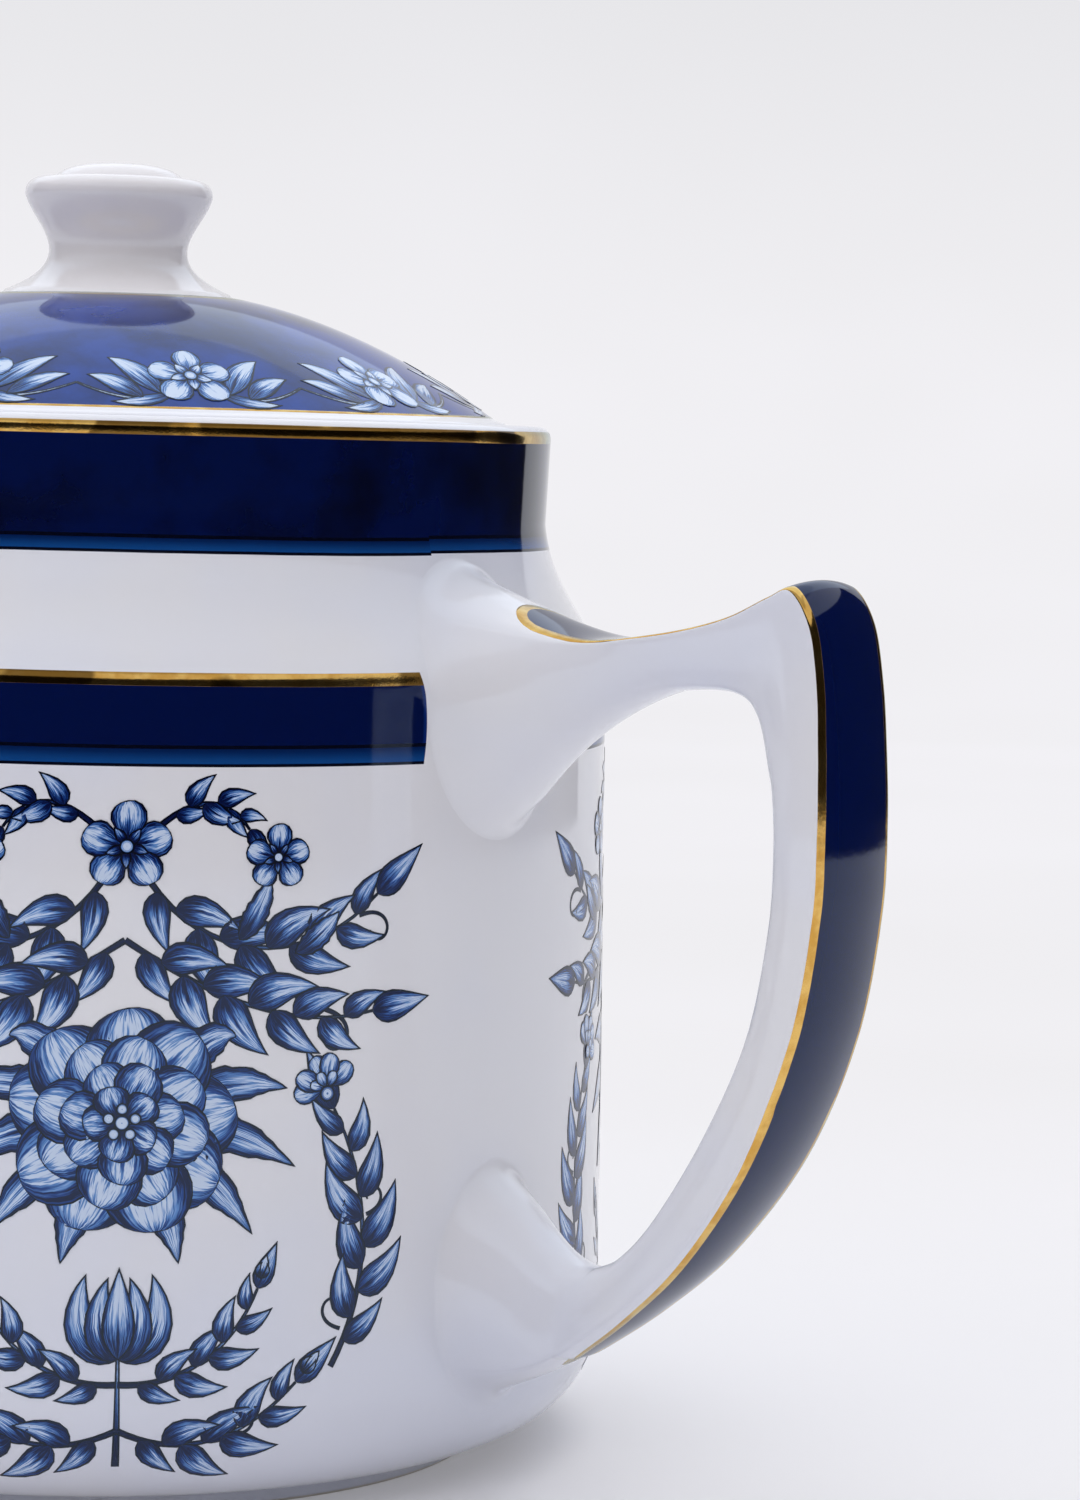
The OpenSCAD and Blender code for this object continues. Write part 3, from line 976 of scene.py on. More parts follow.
@dataclass
class Handle(Part):
    """The handle: a squared loop with a crowned outer band and two flared roots."""

    effects: Effects
    wall: Outline
    name: str = "handle_loop"
    body: str = "pot"
    slot: str = "handle_porcelain"
    nodes: tuple[str, ...] = ("handle",)
    band_k: int = 4
    half_k: int = 14
    side_power: float = 0.75
    edge_round: float = 0.42
    fillet_power: float = 4 / 3
    fillet_rings: int = 34
    fillet_crowd: float = 1.25
    soft_power: float = 1.5
    soft_behind: float = 1.5
    root_sink: float = 0.6
    root_soft: float = 0.2
    side_pad: float = 0.7
    pad_w: float = 3.2
    rib_steps: int = 11
    gold_w: float = 1.25
    start_x: float = 74.8
    start_w: float = 6.1
    tip_x: float = 79.0
    tip_w: float = 1.5
    full_x: float = 112.0
    start_run: float = 12.8
    half_way_z: float = 60.0
    far_gap: float = 6.0
    samples: int = 701
    band_crowd: float = 1.35
    side_crowd: float = 1.5
    seat_sink: float = 0.02
    upper_root: tuple[float, ...] = (99.2, 17.3, 12.8, 1.4, 1.33, 3.6, 3.4)
    lower_root: tuple[float, ...] = (26.8, 16.0, 10.7, 1.5, 1.6, 0.3, 1.2)
    ribs: tuple[tuple[float, ...], ...] = (
        (86, 107.8, 93, 101.9, 6, 0.1), (95, 109.3, 97.2, 102.2, 6.2, 0.1),
        (102.5, 111.4, 100.8, 102.0, 6.5, 0.3), (108.6, 114.4, 103.2, 101.0, 6.8, 0.8),
        (112, 115.6, 104.6, 99.2, 6.9, 1), (115, 111.7, 105.5, 97, 7, 1),
        (116.5, 105, 106.5, 93, 7.1, 1), (117.3, 97.5, 107.3, 90, 7.3, 1), (117.8, 88, 107.8, 84, 7.5, 1),
        (117.5, 77, 107.4, 75, 7.5, 1), (114.7, 62, 104.8, 62.3, 7.5, 1), (108.2, 47, 99.2, 50.2, 7.5, 1),
        (98.5, 34.2, 92.2, 39.2, 7.2, 1), (89, 26, 87, 33.8, 6.8, 1), (80.5, 20.2, 82.6, 31.6, 6.3, 1),
    )

    def stations(self) -> np.ndarray:
        """Places round half a ring, from the band's middle to the inner line, closest at its edge."""
        band = self.band_k * (1 - (1 - np.linspace(0, 1, 14)) ** self.band_crowd)
        side = self.band_k + (self.half_k - self.band_k) * np.linspace(0, 1, 27)[1:] ** self.side_crowd
        return np.concatenate([band, side])

    def section(self, depth: float, half_w: float, crown: float) -> tuple[np.ndarray, np.ndarray]:
        """One rib's section with its band edges rounded.

        Args:
            depth: From the outer line to the inner line.
            half_w: Half of the band's width.
            crown: How far the band's middle stands over its edges.

        Returns:
            Points across and inwards from the outer line, all the way round, and how far each lies outside
            the band's edge.
        """
        k = np.linspace(0, self.half_k, self.samples)
        a = np.radians(90 * np.maximum(0, k - self.band_k) / (self.half_k - self.band_k))
        on_band = k <= self.band_k
        round_side = np.maximum(np.cos(a), 0) ** self.side_power
        across = np.where(on_band, np.sin(np.radians(90 * k / self.band_k)), round_side)
        down = np.where(on_band, crown * across**2, crown + (depth - crown) * np.sin(a) ** self.side_power)
        half = np.column_stack([half_w * across, down])
        whole = np.vstack([half, half[-2:0:-1] * [-1, 1]])
        closed = np.vstack([whole, whole[:1]])
        reach = np.concatenate([[0], np.cumsum(np.linalg.norm(np.diff(closed, axis=0), axis=1))])
        total = reach[-1]
        edge, picks = (np.interp(at, k, reach[: len(k)]) for at in (self.band_k, self.stations()))
        picks = np.concatenate([picks, total - picks[-2:0:-1]])
        middle = (reach[:-1] + reach[1:]) / 2
        centre = (closed[:-1] + closed[1:]) / 2
        gap = np.abs((middle[None, :] - picks[:, None] + total / 2) % total - total / 2)
        weight = np.exp(-0.5 * (gap / self.edge_round) ** 2) * np.diff(reach)
        points = weight @ centre / weight.sum(1, keepdims=True)
        return points, np.minimum(picks, total - picks) - edge

    def build_rings(self) -> tuple[np.ndarray, np.ndarray]:
        """Rings from the upper root to the lower one, and how far each point lies outside the band."""
        grip, gaps = [], []
        for row in eased_rows(self.ribs, self.rib_steps):
            outer, inner = row[:2], row[2:4]
            depth = np.linalg.norm(inner - outer)
            inward = (inner - outer) / depth
            flat, outside = self.section(depth, row[4], row[5])
            x, z = (outer[axis] + flat[:, 1] * inward[axis] for axis in (0, 1))
            grip.append(np.column_stack([x, flat[:, 0], z]))
            gaps.append(outside)
        upper = self.root(self.upper_root, 1, grip[:2], gaps[0])
        lower = self.root(self.lower_root, -1, grip[:-3:-1], gaps[-1])
        return np.array(upper[0] + grip + lower[0][::-1]), np.array(upper[1] + gaps + lower[1][::-1])

    def root(
        self, size: Sequence[float], up: int, arm: Sequence[np.ndarray], gap: np.ndarray
    ) -> tuple[list[np.ndarray], list[np.ndarray]]:
        """Rings that spread from the arm onto the wall, with the seat's smaller rings first.

        Args:
            size: The root's height on the wall, its half height and half width, then how full its flare
                is and how thick its pad is, each behind the band and inside the loop.
            up: 1 where the band is on top, -1 where it is below.
            arm: The arm's last ring and the one before it.
            gap: How far each point lies outside the band's edge.

        Returns:
            The rings and that gap for each.
        """
        stations = self.stations()
        b = 2 * np.pi * np.concatenate([stations, 2 * self.half_k - stations[-2:0:-1]]) / (2 * self.half_k)
        height, half_h, half_w, *fulls = size
        behind, inside = np.clip(np.cos(b), 0, 1), np.clip(-np.cos(b), 0, 1)
        from_ring = arm[0]
        lean = (arm[0] - arm[1])[:, 1:] / (arm[0] - arm[1])[:, :1]

        def ellipse(share: float) -> np.ndarray:
            """A ring on the wall, at a share of the root's size."""
            y, z = share * half_w * np.sin(b), height + up * share * half_h * np.cos(b)
            sunk = self.root_sink if share < 1 else self.seat_sink
            return np.column_stack([self.wall.x_at(y, z) - sunk, y, z])

        onto = ellipse(1.0)
        width = np.linalg.norm(from_ring[:, 1:] - onto[:, 1:], axis=1)
        power, pad = (
            side * (1 - behind - inside) + back * behind + front * inside
            for side, back, front in ((self.fillet_power, *fulls[:2]), (self.side_pad, *fulls[2:]))
        )
        rings = [ellipse(share) for share in (0.25, 0.5, 0.75, 1.0)]
        for s in range(1, self.fillet_rings):
            a = math.pi / 2 * (s / self.fillet_rings) ** self.fillet_crowd
            lift, spread = 1 - math.cos(a) ** power, 1 - math.sin(a) ** power
            ahead = (1 - lift) * lift * (from_ring[:, 0] - onto[:, 0])
            line = from_ring[:, 1:] - lean * ahead[:, None]
            y, z = (line * (1 - spread[:, None]) + onto[:, 1:] * spread[:, None]).T
            wall = self.wall.x_at(y, z)
            off_edge = np.hypot(y - onto[:, 1], z - onto[:, 2])
            proud = pad * (1 - lift) * (1 - np.exp(-((off_edge / self.pad_w) ** 2)))
            soft = self.root_soft * (1 + self.soft_behind * behind) * width
            lift = lift * (1 - np.exp(-((off_edge / soft) ** self.soft_power)))
            rings.append(np.column_stack([wall * (1 - lift) + from_ring[:, 0] * lift + proud, y, z]))
        return rings, [gap] * len(rings)

    def band_gap(self, rings: np.ndarray, outside: np.ndarray) -> np.ndarray:
        """How far each point lies outside the painted band, which starts round and ends in a point.

        Args:
            rings: The rings from the upper root to the lower one.
            outside: How far each point lies outside the crowned band's edge.

        Returns:
            That distance from the painted band, ring by ring.
        """
        stations = self.stations()
        k = np.concatenate([stations, stations[-2:0:-1]])
        edge = int(np.argmin(np.abs(stations - self.band_k)))
        gap = np.array(outside)
        for n, (ring, out) in enumerate(zip(rings, outside)):
            x, y, z = ring[:, 0], np.abs(ring[:, 1]), ring[:, 2]
            upper = z[0] > self.half_way_z
            if upper and x[0] < self.ribs[0][0]:
                from_x, from_w = self.start_x, self.start_w
                share = np.clip((x - from_x) / self.start_run, 0, 1)
                width = from_w + (self.ribs[0][4] - from_w) * share
            elif not upper and x[0] < self.full_x:
                from_x, from_w = self.tip_x, self.tip_w
                share = np.clip((x[0] - from_x) / (self.full_x - from_x), 0, 1) ** 0.5
                width = from_w + (y[edge] - from_w) * share
            else:
                continue
            free = np.where(x < from_x, np.hypot(x - from_x, y) - from_w, y - width)
            gap[n] = np.where(k <= self.band_k, free, np.maximum(free[edge], 0) + np.maximum(out, 0))
            if upper:
                gap[n][k > self.half_k / 2] = self.far_gap
        return gap

    def material(self) -> Material:
        """White glaze with the cobalt band and its gold edges."""
        work = GlazeWork("handle_glaze", self.effects)
        w = work.w
        gap = w.plus(w.number("band_gap"), w.wave(work.place, Grain.FINE_EDGE, 0.22))
        colour = w.mix(w.ramp(gap, -0.5, -0.4, 1.0, 0.0), work.white(w.axes(work.place)[2]), work.cobalt())
        edges = {"Height": gap, "Low": -self.gold_w, "High": 0.16, "Soft": 0.08}
        line = w.group(self.effects.stripe, edges)
        return work.finished(colour, line["Mask"], line["Crown"])

    def build(self) -> Piece:
        """Makes the handle."""
        rings, outside = self.build_rings()
        mesh = lofted(self.name, rings, closed=False)
        gap = self.band_gap(rings, outside).ravel()
        store(mesh, "band_gap", np.concatenate([gap, [FAR, FAR]]))
        return self.finish_piece(link(self.name, mesh), self.material())


@dataclass
class Spout(Part):
    """The hollow spout, drawn towards +X and mirrored onto its side."""

    effects: Effects
    wall: Outline
    name: str = "spout_tube"
    body: str = "pot"
    slot: str = "spout_porcelain"
    nodes: tuple[str, ...] = ("spout",)
    around: int = 96
    rib_steps: int = 12
    root_inset: float = 6.0
    lip_t: float = 2.4
    gold_w: float = 1.5
    ribs: tuple[tuple[float, ...], ...] = (
        (64, 50, 0, 26, 18), (71, 52, 6, 21, 14.8), (80, 58.5, 20, 17.2, 12.6), (88, 69.5, 36, 14.4, 11.1),
        (94.5, 83, 50, 12.2, 10), (99.5, 98, 58, 10.4, 9), (104.5, 113, 61, 9, 8.1),
        (117.9 - 8.1 * math.sin(math.radians(72)), 126.5, 72, 8.1, 7.4),
    )

    def ring(self, rib: Sequence[float], inset: float, ahead: float = 0.0) -> np.ndarray:
        """One ring of a skin, moved ahead along the spout."""
        lean = math.radians(rib[2])
        b = 2 * np.pi * np.arange(self.around) / self.around
        up = (rib[3] - inset) * np.cos(b)
        return np.column_stack([
            rib[0] - up * math.sin(lean) + ahead * math.cos(lean),
            (rib[4] - inset) * np.sin(b),
            rib[1] + up * math.cos(lean) + ahead * math.sin(lean),
        ])

    def skin(self, inset_root: float, inset_lip: float) -> list[np.ndarray]:
        """One skin from the wall to just short of the lip."""
        rows = eased_rows(self.ribs, self.rib_steps)
        rings = []
        for n, row in enumerate(rows[:-1]):
            ring = self.ring(row, inset_root + (inset_lip - inset_root) * n / (len(rows) - 1))
            lift = min(1.0, n / self.rib_steps)
            ring[:, 0] = self.wall.x_at(ring[:, 1], ring[:, 2]) * (1 - lift) + ring[:, 0] * lift
            rings.append(ring)
        return rings

    def material(self) -> Material:
        """White glaze with a gold line round the lip."""
        work = GlazeWork("spout_glaze", self.effects)
        w = work.w
        gap = w.plus(w.number("lip_gap"), w.wave(work.place, Grain.FINE_EDGE, 0.3))
        gold = w.ramp(gap, self.gold_w - 0.06, self.gold_w + 0.06, 1.0, 0.0)
        return work.finished(work.white(w.axes(work.place)[2]), gold)

    def build(self) -> Piece:
        """Makes the spout with a rounded lip."""
        half_t = self.lip_t / 2
        outer, inner = self.skin(0, 0), self.skin(self.root_inset, self.lip_t)
        bead = [
            self.ring(self.ribs[-1], half_t * (1 - math.cos(a)), half_t * (math.sin(a) - 1) - 0.02)
            for a in np.linspace(0, math.pi, 13)
        ]
        rings = (np.array(outer + bead + inner[::-1]) * [-1, 1, 1])[:, ::-1]
        mesh = lofted(self.name, rings, closed=True)
        middle, lip = rings.mean(1), len(outer) + len(bead) // 2
        gap = np.linalg.norm(middle - middle[lip], axis=1)
        gap[lip + 3:] = FAR
        store(mesh, "lip_gap", np.repeat(gap, self.around))
        return self.finish_piece(link(self.name, mesh), self.material())


@dataclass
class Lid(Part):
    """The lid: a low dome with a flange inside the collar and a steam hole."""

    effects: Effects
    name: str = "lid_dome"
    body: str = "lid"
    slot: str = "lid_porcelain"
    nodes: tuple[str, ...] = ("lid",)
    segments: int = 224
    edge_r: float = 51.7
    edge_z: float = 133.3
    seat_z: float = 129.6
    pad_z: float = 148.3
    pad_r: float = 15.6
    thickness: float = 3.4
    flange_r: float = 44.6
    flange_t: float = 2.8
    flange_h: float = 13.6
    vent_x: float = -27.0
    vent_r: float = 1.6
    top_slope: float = 0.36
    top_z: float = 150.6

    def dome(self) -> np.ndarray:
        """The dome's outline from its edge to the pad under the knob."""
        return cubic([
            (self.edge_r - 1.9, self.edge_z), (38, 141.5), (26, self.pad_z - 1.7), (self.pad_r, self.pad_z)
        ], 44)

    def outline(self) -> Outline:
        """The whole outline, from the middle of the underside to the middle of the pad."""
        inner_r, low = self.flange_r - self.flange_t, self.seat_z - self.flange_h
        ceiling = self.pad_z - self.thickness
        under = cubic([
            (self.pad_r - 3, ceiling), (24, ceiling - 1.7), (34, 139), (inner_r, self.seat_z + 4.4)
        ], 30)
        return Outline(np.vstack([
            [[0, ceiling]],
            under,
            rows_between(tuple(under[-1]), (inner_r, low + 0.8), 5),
            arc((inner_r + 0.8, low + 0.8), 0.8, 180, 270, 6),
            arc((self.flange_r - 0.8, low + 0.8), 0.8, -90, 0, 6),
            rows_between((self.flange_r, low + 0.8), (self.flange_r, self.seat_z), 5),
            [[self.flange_r, self.seat_z], [self.flange_r + 3, self.seat_z]],
            arc((self.edge_r - 0.7, self.seat_z + 0.7), 0.7, -90, 0, 6),
            arc((self.edge_r - 1.3, self.edge_z - 1.5), 1.3, 0, 68, 9),
            self.dome(),
            [[self.pad_r - 4, self.pad_z], [0, self.pad_z]],
        ]))

    def material(self) -> Material:
        """Cobalt over the dome between two gold lines, white below."""
        work = GlazeWork("lid_glaze", self.effects)
        w = work.w
        x, y, z = w.axes(work.place)
        radius = w.off_axis(x, y)
        # The dome's upper side lies above a cone, and the underside and the flange lie below it.
        top = w.above(w.minus(z, w.times(radius, -self.top_slope)), self.top_z * MM)
        dome = w.times(work.between(radius, self.pad_r + 0.2, self.edge_r - 2.5), top)
        blue = work.cobalt(Deep=Shade.COBALT, Colour=Shade.COBALT_LID)
        colour = w.mix(dome, work.white(z), blue)
        ring = w.plus(radius, w.wave(work.place, Grain.LID_EDGE, 0.2 * MM))
        lower = work.stripe(ring, self.edge_r - 2.7, self.edge_r - 2.25)
        upper = work.stripe(ring, self.pad_r + 0.1, self.pad_r + 2.0)
        lines = w.times(w.larger(lower["Mask"], upper["Mask"]), top)
        return work.finished(colour, lines, w.plus(lower["Crown"], upper["Crown"]))

    def build(self) -> Piece:
        """Makes the lid and drills its steam hole."""
        piece = link(self.name, self.outline().spun(self.name, self.segments))
        ring = arc((self.vent_x, 0), self.vent_r, 0, 360, 32)[:-1]
        count = len(ring)
        pin = [np.column_stack([ring, np.full(count, self.pad_z + shift)]) for shift in (-14, 2)]
        caps = [range(count)[::-1], range(count, 2 * count)]
        mesh = build_mesh("vent_pin", np.vstack(pin), grid_faces(2, count, flip=True) + caps)
        drilled(piece, link("vent_pin", mesh))
        return self.finish_piece(piece, self.material())


@dataclass
class Knob(Part):
    """The flared knob with a low button on top."""

    effects: Effects
    name: str = "knob"
    body: str = "lid"
    slot: str = "knob_porcelain"
    nodes: tuple[str, ...] = ("lid_knob",)
    segments: int = 160
    base_z: float = 148.3
    neck_r: float = 14.6
    waist_r: float = 9.0
    knob_r: float = 12.15
    button_r: float = 8.4

    def outline(self) -> Outline:
        """The outline from the middle of the base to the middle of the button."""
        z, r, neck, waist, button = self.base_z, self.knob_r, self.neck_r, self.waist_r, self.button_r
        return Outline(np.vstack([
            [[0, z], [neck - 2, z], [neck + 0.5, z]],
            cubic([(neck, z + 0.5), (11.6, z + 1.8), (waist, z + 3.2), (waist, z + 5.8)], 22),
            cubic([(waist, z + 5.8), (waist, z + 8.2), (r - 0.8, z + 10.2), (r, z + 12.8)], 24)[1:],
            cubic([(r, z + 12.8), (r + 0.2, z + 14.4), (r - 1, z + 15.2), (r - 2.4, z + 15.2)], 16)[1:],
            cubic([(button, z + 15.2), (button - 1.6, z + 17.2), (3, z + 17.2), (0, z + 17.2)], 20),
        ]))

    def material(self) -> Material:
        """Plain white glaze, painted a little warmer than the rest to offset the cooler light that falls on
        the knob.
        """
        work = GlazeWork("knob_glaze", self.effects)
        white = work.white(work.w.axes(work.place)[2])
        return work.finished(work.w.mix(0.8, white, Shade.GLAZE_KNOB.colour))

    def build(self) -> Piece:
        """Makes the knob."""
        piece = link(self.name, self.outline().spun(self.name, self.segments))
        return self.finish_piece(piece, self.material())


# ---- The printed bouquet ----


PRINT_MARKS = ("across", "along", "rim", "tone", "grain")
ROSE_Z = 50.0
GOLDEN_SHARE = 0.618


def headed(start: Pair, heading: float, places: Sequence[Pair]) -> list[Pair]:
    """Points so far ahead of start and so far to its left, along a heading in degrees."""
    c, s = math.cos(math.radians(heading)), math.sin(math.radians(heading))
    return [(start[0] + c * ahead - s * aside, start[1] + s * ahead + c * aside) for ahead, aside in places]


def step_from(start: Sequence[float], angle: float, length: float) -> Pair:
    """The point at a length from start, along an angle in radians."""
    return (start[0] + length * math.cos(angle), start[1] + length * math.sin(angle))


class Brush(Enum):
    """The forms that the print is drawn from."""

    LEAF = "leaf"
    TOOTHED = "toothed"
    PETAL = "petal"
    STEM = "stem"

    def widths(self, v: np.ndarray) -> np.ndarray:
        """Half width along a stroke, as a share of its widest."""
        if self in (Brush.LEAF, Brush.TOOTHED):
            blade = np.maximum(np.sin(np.pi * np.maximum(v, 1e-9) ** 0.8), 0) ** 0.95
            teeth = 0.16 * (1 - (v * 7) % 1.0) * (v < 0.93)
            return blade * (1 - teeth) if self is Brush.TOOTHED else blade
        if self is Brush.PETAL:
            base = np.sin(np.pi / 2 * np.minimum(1, v / 0.62)) ** 0.85
            return base * np.sqrt(np.maximum(0, 1 - np.maximum(0, (v - 0.5) / 0.5) ** 2.3))
        return 1 - 0.55 * v


@dataclass
class PrintSheet:
    """A flat sheet of printed forms, each a thin closed plate, laid out in millimetres.

    x runs round the pot, y is the height above the glaze and z runs up it.
    """

    points: list[np.ndarray] = field(default_factory=list)
    faces: list[tuple[int, ...]] = field(default_factory=list)
    marks: dict[str, list[np.ndarray]] = field(default_factory=lambda: {name: [] for name in PRINT_MARKS})
    count: int = 0
    strokes: int = 0
    lift: float = 0.03
    layer_h: float = 0.009
    sunk: float = -0.04
    least_w: float = 0.015
    stagger: float = 0.12
    stem_w: float = 0.42
    leaf_turn: float = 48.0

    def _add(self, points: np.ndarray, faces: Faces, tone: float, **marks: np.ndarray) -> None:
        """Joins one plate to the sheet, with its tone and a grain of its own."""
        self.strokes += 1
        marks["tone"] = np.full(len(points), tone)
        marks["grain"] = np.full(len(points), (self.strokes * GOLDEN_SHARE) % 1.0)
        self.points.append(points)
        self.faces += [tuple(self.count + i for i in face) for face in faces]
        self.count += len(points)
        for key, value in marks.items():
            self.marks[key].append(value)

    def stroke(
        self, spine: Sequence[Pair], half_w: float, brush: Brush, tone: float, layer: float, side: int = 1
    ) -> None:
        """Draws one stroke along a cubic curve.

        Args:
            spine: The curve's four control points.
            half_w: Half of the stroke's greatest width.
            brush: Its form.
            tone: How pale it is, from 0 to 1.
            layer: What it lies over: higher lies on top.
            side: -1 draws it mirrored about the sheet's middle line.
        """
        long = float(np.linalg.norm(np.asarray(spine[3]) - np.asarray(spine[0])))
        steps = 21 if brush is Brush.TOOTHED else int(np.clip(long / 0.8, 8, 18))
        even = np.linspace(0, 1, steps + 1)
        t = even if brush in (Brush.STEM, Brush.TOOTHED) else (1 - np.cos(np.pi * even)) / 2
        self._ribbon(bezier(spine, t), t, half_w, brush, tone, layer, side)

    def curl(
        self, start: Pair, heading: float, length: float, turn: float, layer: float, side: int = 1,
        half_w: float = 0.32,
    ) -> None:
        """Draws a tendril that winds in on itself.

        Args:
            start: Where it leaves its stem.
            heading: Its first direction, in degrees from the pot's right.
            length: Its length.
            turn: Degrees that it turns through, positive to its left.
            layer: Its layer.
            side: -1 draws it mirrored.
            half_w: Half of its width at its start.
        """
        t = np.linspace(0, 1, 27)
        angle = np.radians(heading + turn * t**1.7)
        steps = length / 26 * np.column_stack([np.cos(angle), np.sin(angle)])[:-1]
        line = np.vstack([[start], np.asarray(start) + np.cumsum(steps, axis=0)])
        self._ribbon(line, t, half_w, Brush.STEM, 0.16, layer, side)

    def _ribbon(
        self, line: np.ndarray, t: np.ndarray, half_w: float, brush: Brush, tone: float, layer: float,
        side: int,
    ) -> None:
        """Adds a closed plate along a line. The wrap mirrors the sheet, so here its faces look inside out.

        Args:
            line: The plate's middle line.
            t: How far along it each point is, from 0 to 1.
            half_w: Half of its greatest width.
            brush: Its form.
            tone: How pale it is.
            layer: Its layer.
            side: -1 mirrors it.
        """
        long = float(np.linalg.norm(line[-1] - line[0]))
        run = np.gradient(line, axis=0)
        run /= np.maximum(np.linalg.norm(run, axis=1, keepdims=True), 1e-9)
        normal = np.column_stack([-run[:, 1], run[:, 0]])
        width = np.maximum(half_w * brush.widths(t), self.least_w)
        across = np.linspace(-1, 1, 3 if brush is Brush.STEM else 5 + 2 * int(min(3, half_w / 1.5)))
        columns = len(across)
        height = self.lift + self.layer_h * (layer + self.stagger * (self.strokes % 7))
        top = line[:, None, :] + normal[:, None, :] * (width[:, None] * across)[..., None]
        levels = ((top, height), (top[:, [0, -1]], self.sunk))
        points = [np.insert(flat, 1, level, axis=2).reshape(-1, 3) for flat, level in levels]
        faces = self._plate_faces(len(line) - 1, columns)
        if side < 0:
            faces = [face[::-1] for face in faces]
        to_end = np.minimum(t, 1 - t) * long * 1.1 + (half_w if brush is Brush.STEM else 0.0)
        inside = np.minimum((1 - np.abs(across)) * width[:, None], to_end[:, None])
        self._add(
            np.vstack(points) * [side, 1, 1], faces, tone,
            across=np.concatenate([np.tile(across, len(t)), np.tile([-1.0, 1.0], len(t))]),
            along=np.concatenate([np.repeat(t, columns), np.repeat(t, 2)]),
            rim=np.concatenate([inside.ravel(), np.zeros(2 * len(t))]),
        )

    @staticmethod
    def _plate_faces(steps: int, columns: int) -> Faces:
        """Faces of a plate: its top, its bottom and the sides between them."""
        base = (steps + 1) * columns
        faces: Faces = []
        for r in range(steps):
            a, b = r * columns, (r + 1) * columns
            p, q = base + 2 * r, base + 2 * (r + 1)
            faces += [(a + c, b + c, b + c + 1, a + c + 1) for c in range(columns - 1)]
            faces += [(p, p + 1, q + 1, q), (a, p, q, b), (a + columns - 1, b + columns - 1, q + 1, p + 1)]
        end, tail = steps * columns, base + 2 * steps
        faces.append((*range(columns), base + 1, base))
        faces.append((*range(end + columns - 1, end - 1, -1), tail, tail + 1))
        return faces

    def bead(self, x: float, z: float, radius: float, layer: float, tone: float) -> None:
        """Draws a shaded bead with a dark outline.

        Args:
            x: Where it is, round the pot.
            z: Where it is, up the pot.
            radius: Its radius.
            layer: Its layer.
            tone: How pale it is.
        """
        rings, sides = 5, 20
        height = self.lift + self.layer_h * layer
        share = np.linspace(0, 1, rings + 1)[1:]
        line = [(radius * s, height) for s in share] + [(radius, self.sunk)]
        skin = turned(line, full_turn(sides))[..., [0, 2, 1]] + [x, 0, z]
        points = np.vstack([[[x, height, z]], skin.reshape(-1, 3), [[x, self.sunk, z]]])
        last = len(points) - 1
        faces: Faces = []
        for i in range(1, sides + 1):
            j = i % sides + 1
            faces.append((0, i, j))
            faces += [(a + i, a + sides + i, a + sides + j, a + j) for a in range(0, rings * sides, sides)]
            faces.append((last, rings * sides + j, rings * sides + i))
        spread = np.concatenate([[0], np.repeat(share, sides), np.ones(sides + 1)])
        along = np.full(len(points), 0.62)
        self._add(points, faces, tone, across=spread * 0.9, along=along, rim=radius * (1 - spread))

    def fan(
        self, x: float, z: float, count: int, length: float, half_w: float, layer: float, tone: float,
        start: float, sweep: float = 360.0, brush: Brush = Brush.PETAL,
    ) -> None:
        """Draws strokes that open round a point.

        Args:
            x: Where the fan's middle is, round the pot.
            z: Where it is, up the pot.
            count: How many strokes.
            length: How far they reach.
            half_w: Half of a stroke's width.
            layer: The first stroke's layer.
            tone: How pale they are.
            start: Direction of the first, in degrees from the pot's right.
            sweep: Degrees that they open over, 360 for a whole flower.
            brush: The strokes' form.
        """
        step = sweep / count if sweep >= 360 else sweep / max(1, count - 1)
        for n in range(count):
            bend = 0.05 * length * (1 if n % 2 else -1)
            places = [(0.12 * length, 0), (0.4 * length, bend), (0.75 * length, bend), (length, 0)]
            spine = headed((x, z), start + n * step, places)
            self.stroke(spine, half_w, brush, tone, layer + (n % 2) * 0.6)

    def spray(
        self, spine: Sequence[Pair], leaves: int, leaf: Pair, layer: float, side: int, tone: float
    ) -> None:
        """Draws a stem with leaves in pairs along it and one at its end.

        Args:
            spine: The stem's four control points.
            leaves: How many pairs.
            leaf: Length and half width of the largest leaf.
            layer: The stem's layer, which the leaves lie over.
            side: -1 draws it mirrored.
            tone: How pale the leaves are.
        """
        self.stroke(spine, self.stem_w, Brush.STEM, 0.12, layer, side)
        line = cubic(spine, 60)
        total = 2 * leaves
        for n in range(total + 1):
            share = min(1.0, (n + 1.2) / (total + 1.2))
            k = min(60, int(share * 60))
            at, back = line[k], line[max(0, k - 3)]
            heading = math.atan2(at[1] - back[1], at[0] - back[0])
            size, turn = 1.0, 0.0
            if n < total:
                size = 0.78 + 0.32 * math.sin(math.pi * min(1.0, 1.15 * share)) * (1.0 + 0.12 * (n % 3))
                turn = (self.leaf_turn + 7 * (n % 3 - 1)) * (1 if n % 2 else -1)
            a, inward = heading + math.radians(turn), heading + math.radians(turn * 0.2)
            reach = leaf[0] * size
            low, mid = step_from(at, a, 0.2 * reach), step_from(at, a, 0.5 * reach)
            blade = [tuple(at), low, mid, step_from(mid, inward, 0.55 * reach)]
            shade, over = tone + 0.05 * (n % 3 - 1), layer + 1 + 0.4 * (n % 3)
            self.stroke(blade, leaf[1] * size, Brush.LEAF, shade, over, side)

    def mesh(self, name: str) -> Mesh:
        """The sheet as one flat mesh with what its material reads."""
        mesh = build_mesh(name, np.vstack(self.points), self.faces)
        for key, values in self.marks.items():
            store(mesh, key, np.concatenate(values))
        return mesh


